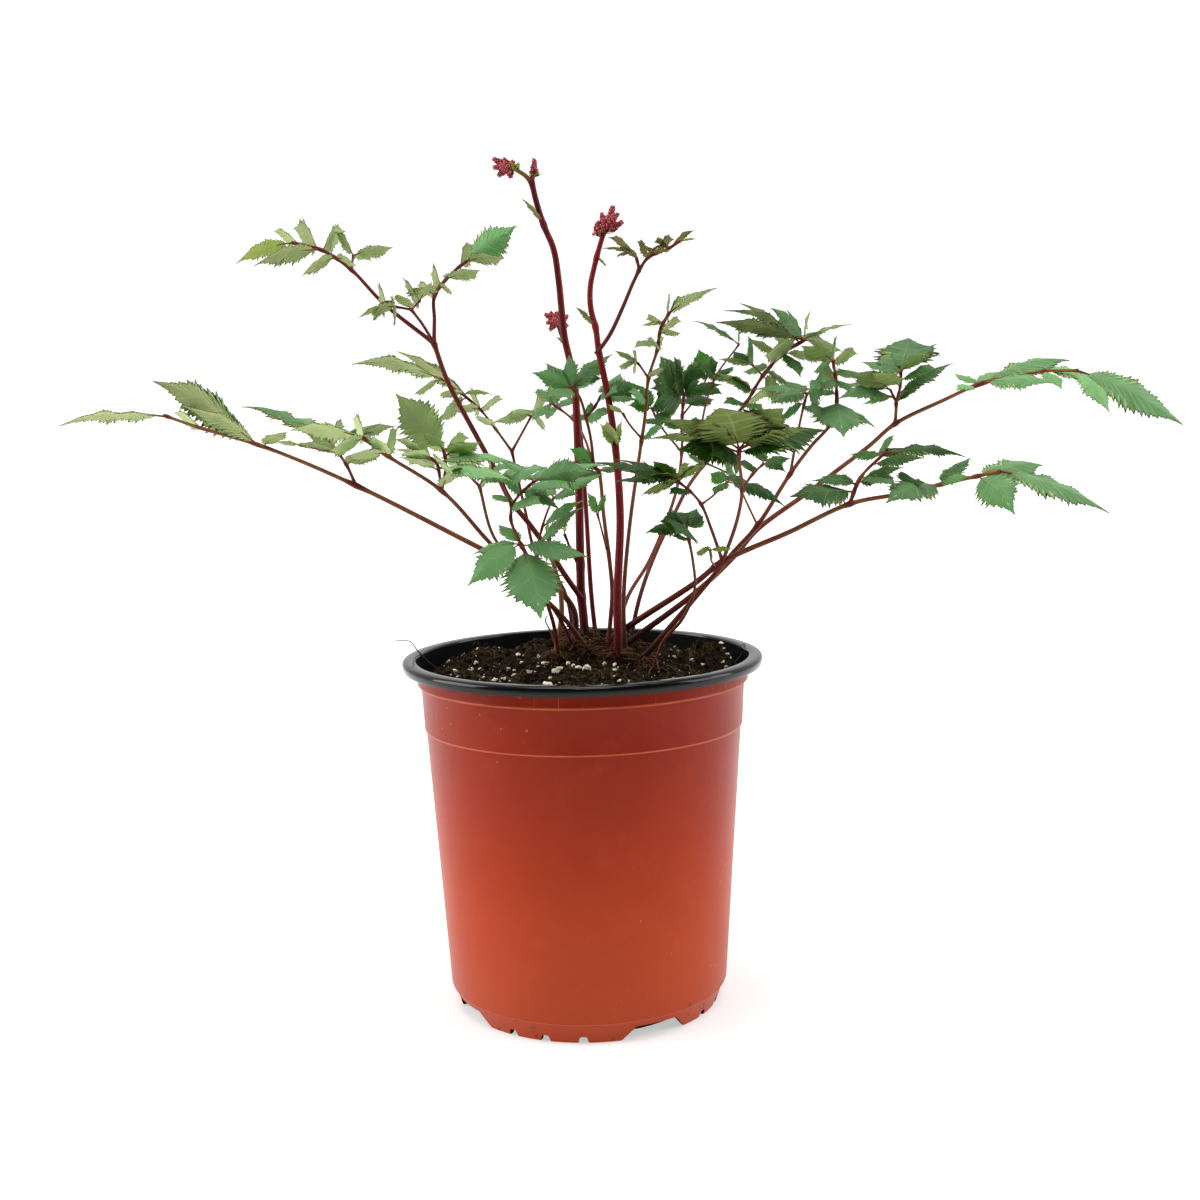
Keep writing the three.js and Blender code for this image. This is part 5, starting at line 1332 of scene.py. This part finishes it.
def potSlot(face, s):
    centre, normal = face.center / mm, face.normal
    reach = math.hypot(centre.x, centre.y)
    facesIn = centre.x * normal.x + centre.y * normal.y < -0.5
    nearest, inner = s["innerReach"]
    low, high = s["underFloor"]
    inside = facesIn and reach > nearest or reach < inner or low < centre.z < high and normal.z < -0.9
    if centre.z > s["lipFrom"] and not (inside and centre.z < s["lipInnerFrom"]):
        return lipSlot
    return insideSlot if inside else claySlot


def makePot(s):
    pot = turnProfile(s["sides"], s["profile"])
    cutters = []
    for angle in s["drainAngles"]:
        cutters.append(prismCutter(angle, s["drains"]))
        cutters.append(prismCutter(angle, s["drainFloors"]))
        cutters += [prismCutter(angle + step, s["notches"]) for step in s["notchSteps"]]
    cutter = joinInto(cutters[0], cutters[1:])
    applyModifier(pot, "BOOLEAN", operation="DIFFERENCE", solver="EXACT", object=cutter)
    removePieces(cutter)
    giveMaterials(pot.data, potMaterials)
    for face in pot.data.polygons:
        face.material_index = potSlot(face, s)
    pick(pot)
    bpy.ops.object.shade_smooth_by_angle(angle=math.radians(s["smoothTo"]))
    pot.name = "pot_shell"
    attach(pot, "root")
    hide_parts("pot")


makePot(potSettings)
print("pot turned")


# growing medium

soilFinish = {
    "dark": (0.004, 0.003, 0.0022, 1),
    "brown": (0.018, 0.0105, 0.0055, 1),
    "moss": (0.125, 0.086, 0.030, 1),
    "gloss": (0.95, 0.05),
    "coarse": (160.0, 6.0, 0.7),
    "fine": (700.0, 4.0, 0.7),
    "relief": (0.9, 0.9),
}
perliteFinish = {
    "pale": (0.95, 0.92, 0.78, 1),
    "shade": (0.72, 0.63, 0.40, 1),
    "moss": soilFinish["moss"],
    "gloss": (0.85, 0.3),
    "fine": (600.0, 4.0, 0.7),
    "relief": (0.7, 0.4),
}
fibreFinish = {
    "rust": (0.075, 0.026, 0.012, 1),
    "straw": (0.36, 0.24, 0.11, 1),
    "dark": soilFinish["dark"],
    "gloss": (0.8, 0.12),
    "fine": (500.0, 3.0, 0.6),
    "relief": (0.4, 0.15),
}


def soilMaterial(c):
    material, tree, shader = newMaterial("soil", *c["gloss"])
    coarse, fine = noises(tree, c, "coarse", "fine")
    feed(shader, "Base Color", layered(c["dark"], (ramp(coarse, 0.35, 0.7), c["brown"]),
                                       (times(ramp(fine, 0.45, 0.7), toneOf(tree)[0]), c["moss"])))
    bump(shader, plus(coarse, fine), *c["relief"])
    return material


def perliteMaterial(c):
    material, tree, shader = newMaterial("perlite", *c["gloss"])
    fine, = noises(tree, c, "fine")
    feed(shader, "Base Color", layered(c["shade"], (ramp(fine, 0.3, 0.7), c["pale"]),
                                       (times(toneOf(tree)[0], 0.6), c["moss"])))
    bump(shader, fine, *c["relief"])
    return material


def fibreMaterial(c):
    material, tree, shader = newMaterial("fibre", *c["gloss"])
    fine, = noises(tree, c, "fine")
    feed(shader, "Base Color", layered(c["rust"], (toneOf(tree)[1], c["straw"]),
                                       (times(fine, 0.6), c["dark"])))
    bump(shader, fine, *c["relief"])
    return material


soilMaterials = [soilMaterial(soilFinish), perliteMaterial(perliteFinish), fibreMaterial(fibreFinish)]
soilSlot, perliteSlot, fibreSlot = range(3)

soilSettings = {
    "level": 153.6,
    "mound": (6, 8),        # its centre
    "swells": ((6, 34), (8, 17)),      # rise and spread of the mound and of the crown on it
    "edge": 72.0,
    "rings": 84,
    "sides": 210,
    "under": ((72.05, 146.0), (62.4, 11.75), (48.4, 11.75), (48.4, 2.3)),      # below its surface
    "settled": 1.2,
    "roughness": 1.9,
    "calmEdge": 8,          # near the wall the lumps sink to this share of their height
    "calm": 0.35,
    "lumps": ((13, 1.6), (5.2, 1.0), (1.9, 0.55)),      # size and height
    "clodLumps": (2.6, 1.6),
    "mossiness": (0.12, 0.75),      # everywhere, and more on clods
    "crumbs": 1500,
    # four kinds of crumbs: how finely they are modelled, and the share of big ones
    "crumbKinds": ((2, 0.35), (2, 0.35), (1, 0.0), (1, 0.0)),
    "crumbReach": 70.0,
    "bigCrumb": (1.0, 2.0),
    "smallCrumb": (0.35, 1.05),
    "clearOfWall": 71.3,
    "bits": 290,
    "bitReach": 69.0,
    "fibres": 420,
    "fibreReach": (66.0, 70.5),
    "fibrePoints": 6,
    "rootsPerStalk": 40,
    # clods: x, y, spread, rise
    "clods": [[-50, 25, 7, 5.5], [-42, 22, 5, 4], [-27, 20, 7, 5], [-15, 24, 6, 4], [61, 14, 5.5, 7.5],
              [53, 12, 5, 4.5], [67, 18, 3, 3], [-52, -22, 9, 3], [38, 22, 5, 4], [44, -30, 8, 2.5],
              [8, -36, 13, 3], [-20, -34, 8, 2.2], [-62, 0, 6, 2.5]],
    # the larger bits that lie on top: x, y, size
    "perlite": [
        [-48, 5, 1.2], [-50, 13, 1.2], [-58, -7, 1.1], [-44, -24, 0.9], [-39, -28, 1.3], [-35, -28, 1.4],
        [-31, -15, 1.1], [-30, -28, 1.1], [-39, 12, 0.9], [-42, 8, 0.6], [-34, 0, 1.2], [-31, -6, 0.9],
        [-28, 1, 1], [-26, -27, 1], [-23, -33, 1], [-17, -14, 1.4], [-20, -13, 0.7], [-11, -33, 2.1],
        [-15, -44, 2.2], [-23, -43, 0.9], [-4, -29, 1.1], [2, -33, 1.4], [-9, -47, 0.7], [-12, -43, 0.5],
        [-32, -33, 0.6], [-16, -29, 0.7], [-30, 12, 1.3], [43, 13, 0.9], [43, 8, 0.8], [47, 4, 0.7],
        [65, 14, 1.1], [65, 3, 0.9], [14, -31, 1.1], [17, -31, 0.8], [23, -31, 0.6], [32, -38, 0.6],
        [18, -46, 1], [50, -1, 0.9], [56, -5, 0.9], [3, -33, 0.7], [-2, -31, 1.2], [1, -33, 1.3],
        [69, 11, 0.7],
    ],
    # roots and dead stalks that stand clear of the crumbs
    "ownRoots": [
        {"points": [[-62, 17, 150], [-71, 13, 156], [-76.6, 10, 163], [-79.5, 6, 168], [-86, 3, 169.2]],
         "radius": 0.4, "light": 0.05},
        {"points": [[68, 12, 151], [74.2, 12, 157], [75.6, 11, 162.6], [73.2, 10, 161.2]],
         "radius": 0.35, "light": 0.35},
        {"points": [[-10, 16, 152], [-11.8, 15, 160], [-14.7, 14, 170], [-17, 14, 175.5], [-16, 14, 177.5]],
         "radius": 0.6, "light": 0.55},
    ],
}


def swell(x, y, centre, spread):
    return math.exp(-((x - centre[0]) ** 2 + (y - centre[1]) ** 2) / (2 * spread ** 2))


def clodAt(x, y):
    return max(swell(x, y, clod, clod[2]) for clod in soilSettings["clods"])


def soilHeight(x, y):
    s = soilSettings
    smooth = s["level"] + sum(rise * swell(x, y, s["mound"], spread) for rise, spread in s["swells"])
    smooth += sum(clod[3] * swell(x, y, clod, clod[2]) for clod in s["clods"])
    place = Vector((x, y, 0))
    lumps = sum(noise.noise(place / size) * high for size, high in s["lumps"])
    size, high = s["clodLumps"]
    lumps += high * clodAt(x, y) * noise.noise(place / size)
    inward = min(1.0, max(0.0, (s["edge"] - math.hypot(x, y)) / s["calmEdge"]))
    return smooth - s["settled"] + s["roughness"] * lumps * (s["calm"] + (1 - s["calm"]) * inward)


def makeSoilBody(s):
    points, faces = [(0, 0, soilHeight(0, 0) * mm)], []
    rings, sides = s["rings"], s["sides"]
    outline = [(s["edge"] * (i + 1) / rings, None) for i in range(rings)] + list(s["under"])
    for radius, height in outline:
        for k in range(sides):
            angle = fullTurn * k / sides
            x, y = radius * math.cos(angle), radius * math.sin(angle)
            points.append((x * mm, y * mm, (soilHeight(x, y) if height is None else height) * mm))
    points.append((0, 0, s["under"][-1][1] * mm))
    last = 1 + (len(outline) - 1) * sides
    for k in range(sides):
        following = (k + 1) % sides
        faces.append((0, 1 + k, 1 + following))
        for ring in range(1, last, sides):
            a, b = ring + k, ring + following
            faces.append((a, a + sides, b + sides, b))
        faces.append((last + k, len(points) - 1, last + following))
    least, more = s["mossiness"]
    return meshPiece("soilBody", points, faces, soilMaterials, soilSlot,
                     [(least + more * clodAt(x / mm, y / mm), 0, 0) for x, y, _ in points])


def makeCrumb(fineness, seed, lumps=0.55):
    deselectAll()
    bpy.ops.mesh.primitive_ico_sphere_add(subdivisions=fineness, radius=1, location=(0, 0, 0))
    crumb = bpy.context.object
    for vertex in crumb.data.vertices:
        push = 1 + lumps * noise.noise(vertex.co * 1.3 + Vector((seed * 7.1, seed * 3.3, 0)))
        push += 0.45 * lumps * noise.noise(vertex.co * 3.1 + Vector((seed * 5.0, 0, 0)))
        vertex.co *= push
    return crumb


def scatter(name, template, places, slot):
    giveMaterials(template.data, soilMaterials, slot)
    scattered = copiesOf(name, template, places, soilMaterials)
    removePieces(template)
    return scattered


def groundPoint(chance, most):
    radius, angle = most * math.sqrt(chance.random()), chance.uniform(0, fullTurn)
    x, y = radius * math.cos(angle), radius * math.sin(angle)
    return x, y, soilHeight(x, y)


def addCrumbs(s, chance):
    pieces = []
    for kind, (fineness, bigShare) in enumerate(s["crumbKinds"]):
        places = []
        for _ in range(s["crumbs"] // len(s["crumbKinds"])):
            x, y, z = groundPoint(chance, s["crumbReach"])
            size = chance.uniform(*s["bigCrumb" if chance.random() < bigShare else "smallCrumb"])
            direction = (chance.uniform(-1, 1), chance.uniform(-1, 1), chance.uniform(-1, 1))
            if math.hypot(x, y) + size > s["clearOfWall"]:
                continue
            places.append(((x, y, z + 0.25 * size), direction, size, size * chance.uniform(0.6, 1.0),
                           chance.uniform(0, 6),
                           (0.7 * chance.random() ** 2 + 0.4 * clodAt(x, y), chance.random(), 0)))
        pieces.append(scatter("crumbs", makeCrumb(fineness, kind), places, soilSlot))
    return pieces


def addPerlite(s, chance):
    places = []
    for _ in range(s["bits"]):
        x, y, z = groundPoint(chance, s["bitReach"])
        size = 0.22 + 0.7 * chance.random() ** 3
        places.append(((x, y, z + 0.5 * size + 0.35), (chance.uniform(-1, 1), chance.uniform(-1, 1), 1), size,
                       size * chance.uniform(0.6, 1), chance.uniform(0, 6),
                       (0.5 * chance.random() ** 2, chance.random(), 0)))
    for x, y, size in s["perlite"]:
        z = soilHeight(x, y)
        places.append(((x, y, z + 0.45 * size), (chance.uniform(-0.4, 0.4), chance.uniform(-0.4, 0.4), 1),
                       size * 0.9, size * 0.6, chance.uniform(0, 6), (0.05, 0, 0)))
    return scatter("perlite", makeCrumb(2, 9, 1.1), places, perliteSlot)


def looseFibre(s, chance):
    most, end = s["fibreReach"]
    x, y, _ = groundPoint(chance, most)
    heading, length, thick = chance.uniform(0, fullTurn), chance.uniform(2, 8), chance.uniform(0.08, 0.19)
    line, lift, light = [], 0.3 + 1.1 * chance.random() ** 2, chance.random() ** 1.2
    steps = s["fibrePoints"] - 1
    for k in range(s["fibrePoints"]):
        if math.hypot(x, y) > end:
            break
        point = Vector((x, y, soilHeight(x, y) + 0.1 + lift * math.sin(math.pi * k / steps)))
        line.append((point, thick * (1 - 0.1 * k), (0.5, light, 0)))
        heading += chance.uniform(-0.6, 0.6)
        x += math.cos(heading) * length / steps
        y += math.sin(heading) * length / steps
    return line


def taperingRoot(path, radius, thinning, light):
    return [(point, radius * (1 - thinning * i / len(path)), (0.5, light, 0)) for i, point in enumerate(path)]


def crownRoot(foot, rise, chance):
    out = Vector((chance.uniform(-1, 1), chance.uniform(-1, 1), 0)).normalized()
    reach, up = chance.uniform(2, 9), chance.uniform(0, 7) * chance.random()
    begin = foot + rise * up + out * chance.uniform(0.3, 1.4)
    end = begin + out * reach + Vector((0, 0, chance.uniform(-1, 2.5)))
    end.z = max(end.z - up * 0.8, soilHeight(end.x, end.y) + 0.3)
    bend = (begin + end) / 2 + Vector((chance.uniform(-1, 1), chance.uniform(-1, 1), chance.uniform(0, 2)))
    thick, light = chance.uniform(0.14, 0.42), 0.5 * chance.random() ** 2
    return taperingRoot(curvePoints([begin, bend, end], 3), thick, 0.6, light)


def addFibres(s, chance):
    loose = [looseFibre(s, chance) for _ in range(s["fibres"])]
    lines = [line for line in loose if len(line) > 2]
    for plant in fronds.values():      # rusty fibres round the foot of every stalk
        stalk = [point for point in curvePoints(plant["stalks"][0][1:], 8)
                 if point.z > soilHeight(point.x, point.y)]
        foot, rise = stalk[0], (stalk[3] - stalk[0]).normalized()
        lines += [crownRoot(foot, rise, chance) for _ in range(s["rootsPerStalk"])]
    for root in s["ownRoots"]:
        lines.append(taperingRoot(curvePoints(root["points"], 6), root["radius"], 0.55, root["light"]))
    return tubes("fibres", lines, 4, fibreSlot, soilMaterials)


def makeSoil(s):
    chance = random.Random(7)
    soil = joinInto(makeSoilBody(s), [*addCrumbs(s, chance), addPerlite(s, chance), addFibres(s, chance)])
    soil.name = "growing_medium_top"
    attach(soil, "root")
    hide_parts("growing_medium")


makeSoil(soilSettings)
print("growing medium laid")


# floor, sky and lights

floorLook = {
    "sheet": ((0.50, 0.50, 0.49, 1), (0.53, 0.53, 0.525, 1)),
    "radius": 12,
    "glow": ((0.07, 0.4), (0.5, 1.0)),      # strength 0.5 to 1 between these distances
    "litFrom": (-0.55, -0.25),
}


def floorMaterial(s):
    material, tree, shader = newMaterial("paleFloor", 0.85, 0.2)
    feed(shader, "Base Color", mixed(objectNoise(tree, 3.0, 2.0), *s["sheet"]))
    # far off the sheet is as white as the sky behind it, so no horizon shows
    place = objectPlace(tree)
    reach = addNode(tree, "ShaderNodeVectorMath", {0: place}, operation="LENGTH").outputs["Value"]
    glow = stretched(reach, *s["glow"])
    # in front it only looks white and lights nothing
    seen = addNode(tree, "ShaderNodeLightPath").outputs["Is Camera Ray"]
    glow = times(glow, maths("MAXIMUM", seen, ramp(partsOf(place)[1], *s["litFrom"])))
    feed(shader, "Emission Color", mixed(glow, (0, 0, 0, 1), (1, 1, 1, 1)))
    shader.inputs["Emission Strength"].default_value = 1.0
    return material


def addFloor(s):
    deselectAll()
    bpy.ops.mesh.primitive_circle_add(vertices=96, radius=s["radius"], fill_type="NGON", location=(0, 0, 0))
    floor = bpy.context.object
    floor.name = "floor"
    giveMaterials(floor.data, [floorMaterial(s)])


lightSettings = {
    "sky": ((-0.6, 0.3), (0.03, 0.8)),      # the light in front and behind
    "skySeen": 1.2,
    "aim": (0, 0, 0.2),
    "areas": [
        # name, place, size, watts
        ("top", (0.0, -0.1, 2.2), 1.8, 40),
        ("left", (-2.0, -0.1, 1.0), 1.4, 37),
        ("right", (2.0, -0.1, 1.0), 1.4, 23),
        ("front", (0.2, -1.9, 2.3), 0.9, 13),
    ],
}


def addSky(s):
    world = bpy.data.worlds.new("studio")
    world.use_nodes = True
    tree = world.node_tree
    way = addNode(tree, "ShaderNodeTexCoord").outputs["Generated"]
    seen = addNode(tree, "ShaderNodeLightPath").outputs["Is Camera Ray"]
    strength = maths("MAXIMUM", stretched(partsOf(way)[1], *s["sky"]), times(seen, s["skySeen"]))
    background = tree.nodes["Background"]
    background.inputs["Color"].default_value = (1.0, 1.0, 1.0, 1)
    feed(background, "Strength", strength)
    bpy.context.scene.world = world


def addLights(s):
    for name, place, size, watts in s["areas"]:
        data = bpy.data.lights.new(name, "AREA")
        data.shape = "SQUARE"
        data.size = size
        data.energy = watts
        light = linked(name, data)
        light.location = place
        light.rotation_euler = (Vector(s["aim"]) - Vector(place)).to_track_quat("-Z", "Y").to_euler()


addFloor(floorLook)
addSky(lightSettings)
addLights(lightSettings)
print("floor and lights set")
